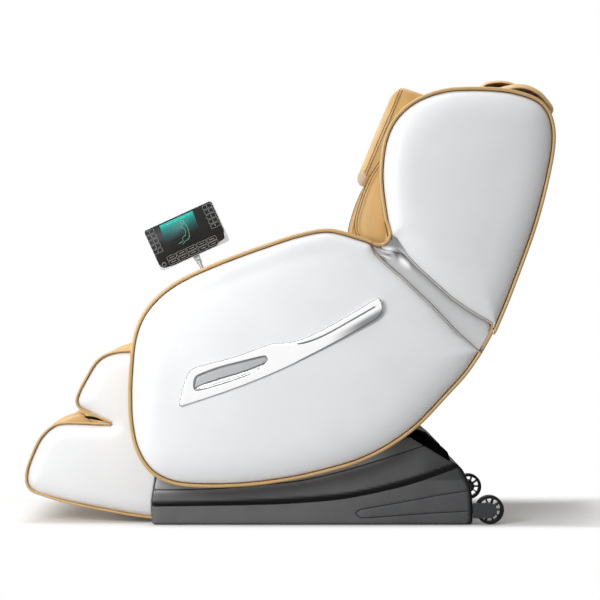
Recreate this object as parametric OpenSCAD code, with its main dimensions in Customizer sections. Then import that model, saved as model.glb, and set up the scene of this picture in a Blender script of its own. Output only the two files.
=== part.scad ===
// Reclining massage chair: tilting seat shell on a low wheeled base, hinged back,
// lifting leg rest with a sliding foot section, and a roller carriage in the back.
// Front of the chair is -X, the sitter's left is -Y, the floor is Z = 0.

/* [Widths across the chair] */
// Half width of the seat cushion
seat_half = 246; // [230:1:270]
// Gap between the seat cushion and each arm cushion
side_gap = 4; // [3:0.5:8]
// Thickness of each inner arm cushion
arm_pad_t = 42; // [30:1:60]
// Thickness of the side wall of the seat shell
side_wall_t = 44; // [30:1:60]
// Rise of the padded side panels above their walls
panel_rise = 32; // [20:1:45]
// How far the piped leather border stands out beside the wall
rim_proud = 6; // [3:1:12]
// Width of the piped leather border
rim_w = 13; // [9:1:20]
// Thickness of the metal trim plates below the back
wedge_t = 10; // [6:1:14]
// Running gap between parts that pass each other
run_gap = 5; // [3:0.5:8]

/* [Seat] */
// Height of the seat cushion's top
seat_z = 462; // [450:1:480]
// Thickness of the seat cushion
seat_pad_t = 66; // [50:1:80]
// Front end of the seat cushion
seat_front_x = -292; // [-295:1:-270]
// Rear end of the seat cushion
seat_rear_x = 182; // [160:1:188]
// Side of the square seat frame tube
tube = 30; // [24:1:36]
// Top of the seat frame
frame_z = 370; // [360:1:380]

/* [Back] */
// Lean of the back from upright, in degrees
back_lean = 13.2; // [12:0.1:15]
// Where the back's front surface meets the seat
back_x = 190; // [186:1:200]
// Thickness of the back cushion
back_pad_t = 60; // [45:1:64]
// Length of the back cushion
back_pad_l = 612; // [560:1:620]
// Half width of the back cushion between the arms
back_half = 244; // [225:1:246]
// Distance of each back rail from the centre
rail_y = 150; // [140:1:170]
// Thickness of the back's outer shell
shell_t = 6; // [4:0.5:8]

/* [Pivots] */
// Position of the tilt pivot from front to rear
tilt_x = 200; // [190:1:210]
// Height of the tilt pivot
tilt_z = 200; // [190:1:205]
// Position of the back pivot from front to rear
recline_x = 292; // [288:1:296]
// Height of the back pivot
recline_z = 483; // [478:1:488]
// Position of the leg rest pivot from front to rear
leg_x = -350; // [-354:1:-346]
// Height of the leg rest pivot
leg_z = 425; // [420:1:428]
// Radius of the main pivot pins
pin_r = 10; // [8:0.5:12]
// Radial clearance of a pin in its bore
pin_gap = 0.05; // [0.02:0.01:0.1]

/* [Base] */
// Front end of the base cover
base_front_x = -367; // [-369:1:-360]
// Rear end of the base cover
base_rear_x = 486; // [480:1:496]
// Wall thickness of the base covers
cover_t = 8; // [5:0.5:10]
// Gap between the base covers and the side walls
cover_gap = 7; // [5:0.5:10]
// Gap between the base covers and the floor
floor_gap = 5; // [3:0.5:8]
// Radius of the transport wheels
wheel_r = 38; // [30:0.5:38.5]
// Width of the transport wheels
wheel_w = 24; // [18:1:28]
// Radius of the wheel axles
axle_r = 6; // [5:0.5:8]

/* [Leg rest] */
// Lean of the leg rest from upright, in degrees
leg_lean = 11.7; // [10:0.1:12]
// Half width of the leg rest
leg_half = 248; // [236:1:249]
// Thickness of the padded outer side of the leg rest
leg_side_t = 22; // [16:1:26]
// Radius of the calf and foot troughs
trough_r = 80; // [70:1:82]
// Distance of each trough from the centre
trough_y = 118; // [112:1:124]
// Radius of the foot section's guide rods
rod_r = 8; // [6:0.5:10]

/* [Massage unit] */
// Radius of the massage rollers
roller_r = 26; // [20:0.5:28]
// Width of the massage rollers
roller_w = 40; // [30:1:44]
// Radius of the lift screw
screw_r = 9; // [7:0.5:11]
// Height of the roller carriage above the seat, along the back
carriage_s = 160; // [140:1:180]

/* [Remote] */
// Width of the remote
remote_w = 226; // [180:1:230]
// Height of the remote
remote_h = 133; // [110:1:140]
// Thickness of the remote
remote_t = 20; // [16:0.5:26]
// Tilt of the remote in the side view, in degrees
remote_turn = 24.5; // [20:0.5:30]
// Height of the remote's centre
remote_z = 795; // [785:1:815]

/* [Hidden] */
$fn = 48;
side_in = seat_half + side_gap + arm_pad_t;
side_out = side_in + side_wall_t;
panel_y = side_out + panel_rise;
rim_y = side_out + rim_proud;
back_in = side_in + wedge_t + run_gap;
bridge_y = side_in - 8;
base_half = side_in - cover_gap;
back_z = seat_z + 8;
inner_leg = leg_half - leg_side_t;
wedge_r = 258;
bridge_r = wedge_r + run_gap - 1;
bore_r = pin_r + pin_gap;

white = "#f4f4f3";
gold = "#d8ae6c";
silver = "#c9cbcc";
grey = "#55565a";
dark = "#1c1d1f";
steel = "#8b8f94";

// ---- curves -------------------------------------------------------------

// One point of a smooth curve between b and c, with neighbours a and d
function bend(a, b, c, d, t) =
  0.5 * (2 * b + (c - a) * t + (2 * a - 5 * b + 4 * c - d) * t * t
  + (3 * b - a - 3 * c + d) * t * t * t);

// A smooth open curve through points p, with n steps between two points
function curve(p, n) = concat(
  [for (i = [0:len(p) - 2], k = [0:n - 1])
    bend(p[max(i - 1, 0)], p[i], p[i + 1], p[min(i + 2, len(p) - 1)], k / n)],
  [p[len(p) - 1]]);

// A smooth closed curve through points p
function loop(p, n) =
  [for (i = [0:len(p) - 1], k = [0:n - 1])
    let (m = len(p))
    bend(p[(i + m - 1) % m], p[i], p[(i + 1) % m], p[(i + 2) % m], k / n)];

function unit(v) = v / max(norm(v), 0.000001);
function reverse(p) = [for (i = [len(p) - 1:-1:0]) p[i]];
function part_of(p, a, b) = [for (i = [a:b]) p[i]];
function middle(p) = [for (k = [0:len(p[0]) - 1]) sum([for (q = p) q[k]]) / len(p)];
function sum(v) = [for (i = 0, s = v[0]; i < len(v); i = i + 1,
  s = s + (i < len(v) ? v[i] : 0)) s][len(v) - 1];

// Points of an open path moved sideways by d, to the left of its direction
function beside(p, d) =
  [for (i = [0:len(p) - 1])
    let (a = p[max(i - 1, 0)], b = p[min(i + 1, len(p) - 1)], t = unit(b - a))
    p[i] + d * [-t.y, t.x]];

// Points of a closed outline moved inwards by d
function inset(p, d) =
  [for (i = [0:len(p) - 1])
    let (m = len(p), a = unit(p[i] - p[(i + m - 1) % m]), b = unit(p[(i + 1) % m] - p[i]),
         t = unit(a + b), c = max(0.5, t * b))
    p[i] + d / c * [-t.y, t.x]];

// The point of the line from a to b that is nearest to q
function nearest(q, a, b) =
  a + (b - a) * max(0, min(1, ((q - a) * (b - a)) / ((b - a) * (b - a))));

// ---- solids -------------------------------------------------------------

// A plate with its outline in the X-Z plane, from y0 to y1
module plate(p, y0, y1)
  translate([0, y1, 0]) rotate([90, 0, 0]) linear_extrude(y1 - y0) polygon(p);

// A round bar along Y
module bar_y(x, z, r, y0, y1)
  translate([x, y1, z]) rotate([90, 0, 0]) cylinder(r = r, h = y1 - y0);

// A box given by its two corners
module block(a, b) translate(a) cube(b - a);

// The same shape on both sides of the chair
module both_sides() {
  children();
  mirror([0, 1, 0]) children();
}

// A closed solid through rings of points, each ring with the same count
module loft(rings) {
  m = len(rings[0]);
  n = len(rings);
  points = concat([for (r = rings) each r], [middle(rings[0]), middle(rings[n - 1])]);
  first = m * n;
  last = first + 1;
  sides = [for (j = [0:n - 2], i = [0:m - 1])
    let (a = j * m + i, b = j * m + (i + 1) % m)
    each [[a, b, b + m], [a, b + m, a + m]]];
  ends = concat(
    [for (i = [0:m - 1]) [first, (i + 1) % m, i]],
    [for (i = [0:m - 1]) [last, (n - 1) * m + i, (n - 1) * m + (i + 1) % m]]);
  polyhedron(points, concat(sides, ends));
}

// Rings of a padded panel: outline p swells by rise from y0, towards the line from a to b
crown_steps = [[0, 0], [0, 0.3], [0.03, 0.62], [0.13, 0.88], [0.5, 1]];
function crown(p, y0, rise, a, b, steps = crown_steps) =
  [for (s = steps)
    [for (q = p) let (c = q + s[0] * (nearest(q, a, b) - q)) [c.x, y0 + s[1] * rise, c.y]]];

// A rounded rectangle with m points, half sizes a and b; e near 0 is squarer
function oval(a, b, m, e) =
  [for (i = [0:m - 1])
    let (t = 360 * (i + 0.5) / m, c = cos(t), s = sin(t))
    [a * sign(c) * pow(abs(c), e), b * sign(s) * pow(abs(s), e)]];

module in_back() translate([back_x, 0, back_z]) rotate([0, back_lean, 0]) children();
module in_leg() translate([leg_x, 0, leg_z]) rotate([0, leg_lean, 0]) children();

// ---- outlines in the side view (X, Z) -------------------------------------

// Border of the seat shell, from the rear of the armrest over the front to the rear corner
side_edge = curve([
  [219, 757], [190, 768], [107, 789], [28, 777], [-51, 752], [-130, 724], [-209, 693],
  [-288, 656], [-345, 615], [-388, 563], [-412, 500], [-421, 420], [-424, 345], [-420, 270],
  [-404, 203], [-366, 146], [-305, 115], [-225, 107], [-130, 109], [-51, 117], [28, 130],
  [107, 149], [186, 173], [265, 212], [344, 270], [422, 352], [470, 405], [508, 460]], 4);
// Edge of the seat shell beside the metal trim, from the rear corner up
wedge_edge = [[508, 460], [447, 514], [379, 586], [303, 658], [253, 701], [230, 724]];
// Gold end strip of the metal trim, from the rear corner of the seat shell up
tail_edge = curve([[509, 447], [522, 466], [533, 484], [545, 507]], 3);
// Border of the back, from the rear corner over the top to the front corner
back_edge = curve([
  [548, 520], [582, 601], [622, 706], [650, 785], [673, 864], [690, 937], [701, 1000],
  [702, 1050], [691, 1093], [668, 1124], [633, 1143], [580, 1157], [527, 1162], [475, 1163],
  [422, 1160], [375, 1149], [330, 1129], [293, 1100], [267, 1066], [249, 1022], [240, 969],
  [238, 916], [243, 864], [251, 811], [262, 757]], 4);
// Corner where the border of the back turns towards the border of the armrest
corner_edge = curve([[250, 811], [253, 797], [257, 777], [254, 763], [243, 753], [226, 750]], 4);
// Lower edge of the back panel, from front to rear
back_foot = [[288, 738], [315, 711], [341, 683], [379, 649], [428, 605], [464, 579],
  [506, 553], [536, 537]];
// Lines that the padding of the two large panels swells from
side_spine = [[-200, 330], [230, 480]];
back_spine = [[420, 760], [480, 1010]];
recline = [recline_x, recline_z];
// Rear cover of the seat shell, seen from the side
lower_cover = curve([[300, 301], [345, 301], [382, 308], [425, 352], [470, 405], [503, 450],
  [524, 488], [534, 526], [530, 547], [522, 568]], 3);
// Shoulder wing
wing_line = loop([[258, 748], [236, 738], [206, 750], [185, 775], [180, 808], [190, 851],
  [209, 905], [232, 948], [262, 984], [290, 985], [284, 900], [266, 800]], 2);
// Leg rest outlines in its own frame, where -Z runs down the leg and -X is forward
// Calf section: cushion and padded side
calf_front = [[-173, -27], [-188, -68], [-201, -112], [-203, -140], [-190, -159], [-160, -168]];
calf_rear = [[-97, -180], [-34, -188], [12, -190]];
calf_edge = concat(curve(concat([[12, 20], [2, 38], [-30, 47], [-79, 45], [-118, 26],
  [-150, 2]], calf_front), 3), calf_rear);
calf_side = concat(curve(concat([[12, 20], [0, 36], [-30, 33], [-79, 26], [-118, 16],
  [-150, 0]], calf_front), 3), calf_rear);
// Foot section: cushion and padded side
foot_front = [[-281, -265], [-291, -309], [-296, -345], [-293, -376], [-280, -398], [-255, -408],
  [-189, -412]];
foot_rear = [[-107, -412], [58, -405], [14, -195]];
foot_edge = concat(curve(concat([[-46, -193], [-97, -187], [-140, -184], [-163, -174],
  [-182, -165], [-197, -168], [-223, -183], [-250, -206], [-268, -233]], foot_front), 3),
  foot_rear);
foot_side = concat(curve(concat([[-46, -193], [-97, -187], [-140, -190], [-178, -194],
  [-215, -200], [-243, -211], [-265, -234]], foot_front), 3), foot_rear);
// Base cover, seen from the side
base_top = [[base_front_x + 13, 126], [321, 238]];
base_tail = curve([[321, 238], [370, 208], [426, 174], [455, 157], [471, 134],
  [base_rear_x, 96], [base_rear_x + 4, 40], [base_rear_x - 2, floor_gap]], 4);
base_nose = curve([[base_front_x + 1, floor_gap], [base_front_x, 30], [base_front_x, 54],
  [base_front_x + 4, 84], [base_front_x + 13, 126]], 4);
base_line = reverse(concat(base_nose, part_of(base_tail, 0, len(base_tail) - 1)));
// Silver side trim and its recessed pocket
trim_line = curve([[-283, 322], [-274, 362], [-268, 398], [-243, 424], [-146, 450], [-73, 476],
  [-40, 487], [-2, 489], [40, 500], [91, 524], [165, 565], [228, 603], [240, 598], [244, 585],
  [234, 556], [165, 514], [91, 474], [18, 437], [-55, 404], [-128, 375], [-201, 349]], 2);
pocket_line = curve([[-250, 373], [-241, 398], [-223, 408], [-146, 428], [-70, 452],
  [-58, 446], [-77, 433], [-183, 398], [-227, 381]], 2);

// ---- base -----------------------------------------------------------------

rail_in = 200;
rail_out = 236;
rail_end = base_rear_x - 18;
ear_t = 8;
base_low = 14;
base_high = base_low + tube;
tilt_motor_x = -60;
tilt_motor_z = 80;
tilt_top_z = 320;
clevis_in = 13;
clevis_t = 7;
clevis_gap = 1;
small_pin_r = 6;
open_gap = 1.6;

module clevis(x, z, low, high, r) both_sides() difference() {
  union() {
    block([x - 16, clevis_in, low], [x + 16, clevis_in + clevis_t, high]);
    bar_y(x, z, 16, clevis_in, clevis_in + clevis_t);
  }
  if (r > 0) bar_y(x, z, r, clevis_in - 1, clevis_in + clevis_t + 1);
}

module base_frame() color(steel) {
  both_sides() {
    block([-340, rail_in, base_low], [rail_end, rail_out, base_high]);
    difference() {
      union() {
        plate([[tilt_x - 60, base_high], [tilt_x + 60, base_high], [tilt_x + 22, tilt_z],
          [tilt_x - 22, tilt_z]], rail_in, rail_in + ear_t);
        bar_y(tilt_x, tilt_z, 22, rail_in, rail_in + ear_t);
      }
      bar_y(tilt_x, tilt_z, bore_r, rail_in - 1, rail_in + ear_t + 1);
    }
  }
  for (x = [-340, tilt_motor_x - tube / 2, 410])
    block([x, -rail_in, base_low], [x + tube, rail_in, base_high]);
  clevis(tilt_motor_x, tilt_motor_z, base_high, tilt_motor_z, small_pin_r + pin_gap);
  // Stays that carry the side covers
  both_sides() for (x = [-300, 60, 380])
    block([x, rail_out, base_low + 4], [x + 24, base_half - cover_t, base_high - 4]);
}

module base_cover() {
  groove_t = 2.5;
  difference() {
    plate(base_line, base_half - cover_t, base_half);
    // Dark waist band, its top following the cover's slope
    plate(concat(curve([[-380, 71], [-212, 74], [-52, 82], [108, 95], [188, 106], [268, 127],
      [330, 148], [402, 172]], 4), reverse(curve([[-380, 48], [-92, 53], [28, 58], [148, 69],
      [268, 93], [348, 115], [446, 150]], 4))), base_half - groove_t, base_half + 1);
    // Thin line along the upper part
    plate(concat(curve([[-380, 95], [-212, 99], [-92, 109], [28, 121], [151, 149], [273, 186],
      [368, 217]], 4), reverse(curve([[-380, 92], [-212, 96], [-92, 106], [28, 118],
      [151, 146], [273, 183], [368, 213]], 4))), base_half - groove_t, base_half + 1);
    // Long open loop near the rear foot
    plate(concat([[473, 89], [396, 77.5], [334, 65.5], [273, 54.5], [193, 41.5], [181, 31],
      [193, 20], [273, 25], [365, 32], [473, 37.5]], [[473, 35], [365, 29.5], [273, 22.5],
      [192, 17], [177, 31], [191, 43.5], [273, 57], [334, 68], [396, 80], [473, 92]]),
      base_half - groove_t, base_half + 1);
  }
}
module base_cover_left() color(grey) mirror([0, 1, 0]) base_cover();
module base_cover_right() color(grey) base_cover();

module base_rear_cover() color(dark) {
  tail = base_half - cover_t;
  difference() {
    plate(base_line, -tail, tail);
    plate(concat(reverse(beside(base_tail, -cover_t)), [[321, 300], [-400, 300], [-400, -10],
      [base_rear_x - 10, -10]]), -tail - 1, tail + 1);
    block([400, inlet_y - inlet_w, inlet_z - inlet_h],
      [600, inlet_y + inlet_w, inlet_z + inlet_h]);
    block([400, switch_y - 11, inlet_z - 16], [600, switch_y + 11, inlet_z + 16]);
    bar_y(switch_x, inlet_z, switch_pin_r + pin_gap, switch_y - 15, switch_y + 15);
    both_sides() block([400, tail - neck_w, wheel_z - 10], [600, tail + 1, wheel_z + 14]);
  }
  // Rounded housing behind the seat
  plate([[300, 236], [338, 253], [372, 241], [408, 210], [421, 192], [428, 172], [416, 172],
    [404, 204], [366, 234], [338, 245], [303, 229]], -200, 200);
}

module base_front_cover() color(grey) {
  wide = base_half - cover_t;
  difference() {
    plate(base_line, -wide, wide);
    plate(concat(beside(base_nose, -cover_t), [[321, 300], [600, 300], [600, -10],
      [base_front_x + 10, -10]]), -wide - 1, wide + 1);
  }
}

module floor_pads() color(dark)
  both_sides() for (x = [-320, 420])
    translate([x, (rail_in + rail_out) / 2, 0]) {
      cylinder(r = 26, h = 8);
      cylinder(r = 10, h = base_low);
    }

wheel_x = base_rear_x + 51;
neck_w = 22;
wheel_z = wheel_r + 1.5;
wheel_y1 = base_half - cover_t - 3;
wheel_y0 = wheel_y1 - wheel_w;

module wheel_brackets() color(grey) both_sides() {
  arm_y = base_half - cover_t;
  back = base_rear_x + 5;
  block([back, arm_y - 1, wheel_z - 21], [wheel_x - 2, base_half, wheel_z + 19]);
  bar_y(wheel_x - 2, wheel_z - 1, 20, arm_y - 1, base_half);
  bar_y(wheel_x, wheel_z, axle_r, wheel_y0 - 3, arm_y);
  bar_y(wheel_x, wheel_z, axle_r + 5, wheel_y0 - 6, wheel_y0 - 1);
  // Neck through the rear cover, and a flange on the end of the frame rail
  block([rail_end, arm_y - neck_w, wheel_z - 10], [back + 4, arm_y, wheel_z + 14]);
  block([rail_end, rail_in, wheel_z - 10], [rail_end + 8, arm_y, wheel_z + 14]);
}

module wheel() difference() {
  hub_r = 17;
  bar_y(wheel_x, wheel_z, wheel_r, wheel_y0, wheel_y1);
  difference() {
    bar_y(wheel_x, wheel_z, wheel_r - 8, wheel_y0 - 1, wheel_y1 + 1);
    bar_y(wheel_x, wheel_z, hub_r, wheel_y0 - 2, wheel_y1 + 2);
    for (a = [0:36:359])
      translate([wheel_x, 0, wheel_z]) rotate([0, a, 0])
        block([hub_r - 4, wheel_y0 - 2, -1.7], [wheel_r - 4, wheel_y1 + 2, 1.7]);
  }
  bar_y(wheel_x, wheel_z, axle_r + pin_gap, wheel_y0 - 3, wheel_y1 + 3);
}
module wheel_left() color(dark) mirror([0, 1, 0]) wheel();
module wheel_right() color(dark) wheel();

module air_pump() color(dark) {
  block([-300, -150, base_high], [-150, 20, base_high + 62]);
  for (y = [-130, -90, -50, -10])
    translate([-150, y, base_high + 32]) rotate([0, 90, 0]) cylinder(r = 5, h = 16);
}

module control_box() color(grey) difference() {
  block([40, -160, base_high], [280, 150, base_high + 48]);
  for (x = [70:20:250]) block([x, -140, base_high + 44], [x + 8, -40, base_high + 50]);
}

inlet_y = -120;
inlet_w = 24;
inlet_h = 16;
inlet_z = 44;
module power_inlet() color(dark) difference() {
  block([base_rear_x - 40, inlet_y - inlet_w, inlet_z - inlet_h],
    [base_rear_x + 5, inlet_y + inlet_w, inlet_z + inlet_h]);
  block([base_rear_x - 18, inlet_y - 14, inlet_z - 10], [base_rear_x + 6, inlet_y + 14, inlet_z + 10]);
}

switch_y = -60;
switch_x = base_rear_x - 1;
switch_pin_r = 2.2;
module power_switch() color(dark) {
  plate([for (p = [[-7, -12], [3, -12], [5, 0], [9, 12], [-7, 12]]) p + [switch_x, inlet_z]],
    switch_y - 9, switch_y + 9);
  bar_y(switch_x, inlet_z, switch_pin_r, switch_y - 14, switch_y + 14);
}

// A linear drive from p to q: its tube, or its rod with an eye
module drive_tube(p, q, l, r, bore) {
  d = unit(q - p);
  neck = 30;
  translate([p.x, 0, p.y]) rotate([0, 90 - atan2(d.y, d.x), 0]) difference() {
    union() {
      translate([0, 0, neck]) cylinder(r = r, h = l - neck);
      bar_y(0, 0, 14, -clevis_in + clevis_gap, clevis_in - clevis_gap);
      block([-12, -clevis_in + clevis_gap, 0], [12, clevis_in - clevis_gap, neck + 2]);
      translate([0, r * 0.9, neck + 8]) cylinder(r = r * 0.8, h = 60);
    }
    translate([0, 0, 50]) cylinder(r = bore, h = l);
  }
}
module drive_rod(p, q, start, r) {
  d = unit(q - p);
  l = norm(q - p);
  translate([p.x, 0, p.y]) rotate([0, 90 - atan2(d.y, d.x), 0]) difference() {
    union() {
      translate([0, 0, start]) cylinder(r = r, h = l - start - 4);
      bar_y(0, l, 14, -clevis_in + clevis_gap, clevis_in - clevis_gap);
    }
    bar_y(0, l, small_pin_r + open_gap, -clevis_in, clevis_in);
  }
}
tilt_low = [tilt_motor_x, tilt_motor_z];
tilt_high = [tilt_motor_x, tilt_top_z];
module tilt_motor() color(dark) {
  drive_tube(tilt_low, tilt_high, 165, 24, 10.3);
  bar_y(tilt_low.x, tilt_low.y, small_pin_r, -clevis_in - clevis_t - 3, clevis_in + clevis_t + 3);
}
module tilt_rod() color(steel) drive_rod(tilt_low, tilt_high, 60, 10);

// ---- seat shell -------------------------------------------------------------

seat_low = frame_z - tube;
back_motor_x = 20;
back_motor_z = 290;
back_lever_x = 292;
back_lever_z = 410;

module seat_frame() color(steel) {
  half = 206 + tube;
  both_sides() {
    block([-280, 206, seat_low], [262, half, frame_z]);
    // Arms to the side walls
    for (x = [-250, 0, 232]) block([x, half, seat_low], [x + tube, side_in, frame_z]);
    // Ears of the tilt pivot
    difference() {
      union() {
        plate([[tilt_x - 60, seat_low], [tilt_x + 55, seat_low], [tilt_x + 22, tilt_z],
          [tilt_x - 22, tilt_z]], 212, 212 + ear_t);
        bar_y(tilt_x, tilt_z, 22, 212, 212 + ear_t);
      }
      bar_y(tilt_x, tilt_z, pin_r, 211, 213 + ear_t);
    }
    // Ears of the back pivot
    difference() {
      union() {
        plate([[232, frame_z], [262, frame_z], [recline_x + 20, recline_z],
          [recline_x - 20, recline_z]], 258, 258 + ear_t);
        bar_y(recline_x, recline_z, 20, 258, 258 + ear_t);
      }
      bar_y(recline_x, recline_z, pin_r, 257, 259 + ear_t);
    }
  }
  for (x = [-280, tilt_motor_x - tube / 2, back_motor_x - tube / 2, 232])
    block([x, -206, seat_low], [x + tube, 206, frame_z]);
  clevis(tilt_motor_x, tilt_top_z, tilt_top_z, seat_low, 0);
  clevis(back_motor_x, back_motor_z, back_motor_z, seat_low, small_pin_r + pin_gap);
  bar_y(tilt_motor_x, tilt_top_z, small_pin_r, -clevis_in - clevis_t, clevis_in + clevis_t);
}

side_core = concat(beside(side_edge, rim_w), wedge_edge);
module side_walls() color(gold) both_sides() plate(side_core, side_in, side_out);

module rim(edge, y0, y1) {
  bevel = 4;
  plate(concat(edge, reverse(beside(edge, rim_w))), y0 + bevel, y1 - bevel);
  for (y = [y0, y1 - bevel])
    plate(concat(beside(edge, bevel), reverse(beside(edge, rim_w))), y, y + bevel);
}
tail_w = rim_w - 3;
module side_rim() {
  rim(side_edge, side_in, rim_y);
  plate(concat(tail_edge, reverse(beside(tail_edge, tail_w))), side_in, side_in + wedge_t);
}
module side_rim_left() color(gold) mirror([0, 1, 0]) side_rim();
module side_rim_right() color(gold) side_rim();

function every(p, n) = [for (i = [0:n:len(p) - 1]) p[i]];
side_face = concat(every(beside(side_edge, rim_w + 1.5), 2), part_of(wedge_edge, 1, 5));
module side_panel() loft(crown(side_face, side_out, panel_rise, side_spine[0], side_spine[1]));
module side_panel_left() color(white) mirror([0, 1, 0]) side_panel();
module side_panel_right() color(white) side_panel();

trim_t = 9;
module side_trim() difference() {
  union() {
    plate(trim_line, panel_y - 1, panel_y + trim_t - 3);
    plate(inset(trim_line, 3), panel_y - 1, panel_y + trim_t);
  }
  plate(pocket_line, panel_y + 2, panel_y + trim_t + 1);
}
module side_trim_left() color(silver) mirror([0, 1, 0]) side_trim();
module side_trim_right() color(silver) side_trim();

wedge_face = concat([[218, 742], [222, 749], [243, 747], [257, 752], [280, 733], [288, 741]],
  [for (a = [90:-6:18]) recline + wedge_r * [cos(a), sin(a)]],
  [[537, 545], [537, 514], [524, 490], [513, 472], [503, 465]]);
module wedge_trim() plate(concat(wedge_face, part_of(wedge_edge, 1, 5)), side_in,
  side_in + wedge_t);
module wedge_trim_left() color(silver) mirror([0, 1, 0]) wedge_trim();
module wedge_trim_right() color(silver) wedge_trim();

module lower_back_cover() color(gold)
  plate(concat(lower_cover, reverse(beside(lower_cover, 8))), -side_in, side_in);

// A cushion along X: rings of rounded cross-section, flat underneath
function seat_ring(x, half, top, low) =
  [for (q = oval(half, 1, 28, 0.45)) [x, q.x, q.y > 0 ? low + (top - low) * (0.45 + 0.55 * q.y
    * (1 - 0.10 * pow(q.x / half, 4))) : low + (top - low) * 0.45 * (1 + q.y)]];
module seat_pad() color(gold) {
  low = seat_z - seat_pad_t;
  len_x = seat_rear_x - seat_front_x;
  // Share of the length, share of the width, height above or below the nominal top
  shape = [[0, 0.90, -22], [0.012, 0.965, -8], [0.05, 0.99, 3], [0.16, 1, 8], [0.30, 1, 6],
    [0.335, 0.992, -3], [0.37, 1, 6], [0.52, 1, 5], [0.60, 1, 3], [0.635, 0.992, -6],
    [0.67, 1, 2], [0.85, 1, 0], [0.96, 0.985, -4], [1, 0.93, -16]];
  loft([for (s = shape)
    seat_ring(seat_front_x + s[0] * len_x, seat_half * s[1], seat_z + s[2], low)]);
}

arm_line = loop([[-296, 402], [-312, 470], [-312, 540], [-292, 600], [-215, 655], [-130, 690],
  [-40, 722], [50, 742], [120, 738], [180, 718], [226, 680], [238, 600], [238, 500],
  [228, 402], [100, 398], [-100, 398]], 2);
module arm_pad() mirror([0, 1, 0]) loft(crown(arm_line, -side_in, arm_pad_t, [-180, 520],
  [160, 590], [[0, 0], [0, 0.55], [0.08, 0.85], [0.3, 1]]));
module arm_pad_left() color(gold) mirror([0, 1, 0]) arm_pad();
module arm_pad_right() color(gold) arm_pad();

module pivot_pins() color(steel) both_sides() {
  bar_y(tilt_x, tilt_z, pin_r, rail_in - 4, 212 + ear_t + 4);
  bar_y(recline_x, recline_z, pin_r, 242, 258 + ear_t + 4);
  bar_y(leg_x, leg_z, pin_r, inner_leg - 14, side_in);
}

back_low = [back_motor_x, back_motor_z];
back_high = [back_lever_x, back_lever_z];
module back_motor() color(dark) {
  drive_tube(back_low, back_high, 190, 20, 9.3);
  bar_y(back_low.x, back_low.y, small_pin_r, -clevis_in - clevis_t - 3, clevis_in + clevis_t + 3);
}
module back_rod() color(steel) drive_rod(back_low, back_high, 100, 9);

// ---- remote ---------------------------------------------------------------

remote_x = -314;
remote_y = 272;
post_y = side_in + 26;
module in_remote() translate([remote_x, remote_y, remote_z]) rotate([0, -remote_turn, 0])
  children();
post_low = 138;
arm_z = -remote_h / 2 - 16;
spigot_r = 5;
hinge_y = remote_y + remote_t / 2 + 16;
module on_post() translate([remote_x, 0, remote_z]) rotate([0, -remote_turn, 0]) children();

module remote_post() color(steel) on_post() translate([0, post_y, 0]) {
  translate([0, 0, -post_low]) cylinder(r = 6, h = post_low + arm_z - 8);
  translate([0, 0, -post_low]) cylinder(r = 13, h = 8);
  translate([0, 0, arm_z - 9]) cylinder(r = spigot_r, h = 17);
}

// Swivel arm: a socket on the post, and an upright with the barrel of the tilt hinge
module remote_arm() color(steel) on_post() difference() {
  union() {
    translate([0, post_y, arm_z - 7.5]) cylinder(r = 9, h = 29);
    block([-10, hinge_y - 4, arm_z + 4], [10, post_y, arm_z + 20]);
    block([-10, hinge_y - 4, arm_z + 4], [10, hinge_y + 4, 8]);
    rotate([0, 90, 0]) translate([0, hinge_y, -10]) cylinder(r = 9, h = 20);
  }
  translate([0, post_y, arm_z - 9]) cylinder(r = spigot_r + pin_gap, h = 18);
  rotate([0, 90, 0]) translate([0, hinge_y, -11]) cylinder(r = 4 + pin_gap, h = 22);
}

// A flat slab with rounded corners, its face in the X-Z plane
module slab(w, h, r, y0, y1) translate([0, y1, 0]) rotate([90, 0, 0]) linear_extrude(y1 - y0)
  union() {
    square([w - 2 * r, h], center = true);
    square([w, h - 2 * r], center = true);
    for (x = [-1, 1], y = [-1, 1])
      translate([x * (w / 2 - r), y * (h / 2 - r)]) circle(r = r);
  }

button_x = -remote_w / 2 + 15;
button_z = -remote_h / 2 + 15;
button_r = 7;
button_stroke = 1;
module remote_case() color(dark) in_remote() {
  difference() {
    slab(remote_w, remote_h, 9, -remote_t / 2, remote_t / 2);
    slab(remote_w - 8, remote_h - 8, 6, -remote_t / 2 - 1, -remote_t / 2 + 2);
    bar_y(button_x, button_z, button_r + 0.4, -remote_t / 2 - 1, -remote_t / 2 + 7);
  }
  // Lugs and pin of the tilt hinge
  for (x = [-20, 11]) block([x, remote_t / 2 - 0.5, -9], [x + 9, remote_t / 2 + 24, 9]);
  translate([-20, remote_t / 2 + 16, 0]) rotate([0, 90, 0]) cylinder(r = 4, h = 40);
}

module remote_screen() color("#10181a") in_remote() difference() {
  slab(remote_w - 8.4, remote_h - 8.4, 5.8, -remote_t / 2 + 0.2, -remote_t / 2 + 2);
  bar_y(button_x, button_z, button_r + 0.4, -remote_t / 2 - 1, -remote_t / 2 + 3);
}

module remote_button() color(silver) in_remote()
  bar_y(button_x, button_z, button_r, -remote_t / 2 - 1.5, -remote_t / 2 + 5.5);

// ---- back -----------------------------------------------------------------

rail_x = 150;
cross_x = rail_x + 30;

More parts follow.
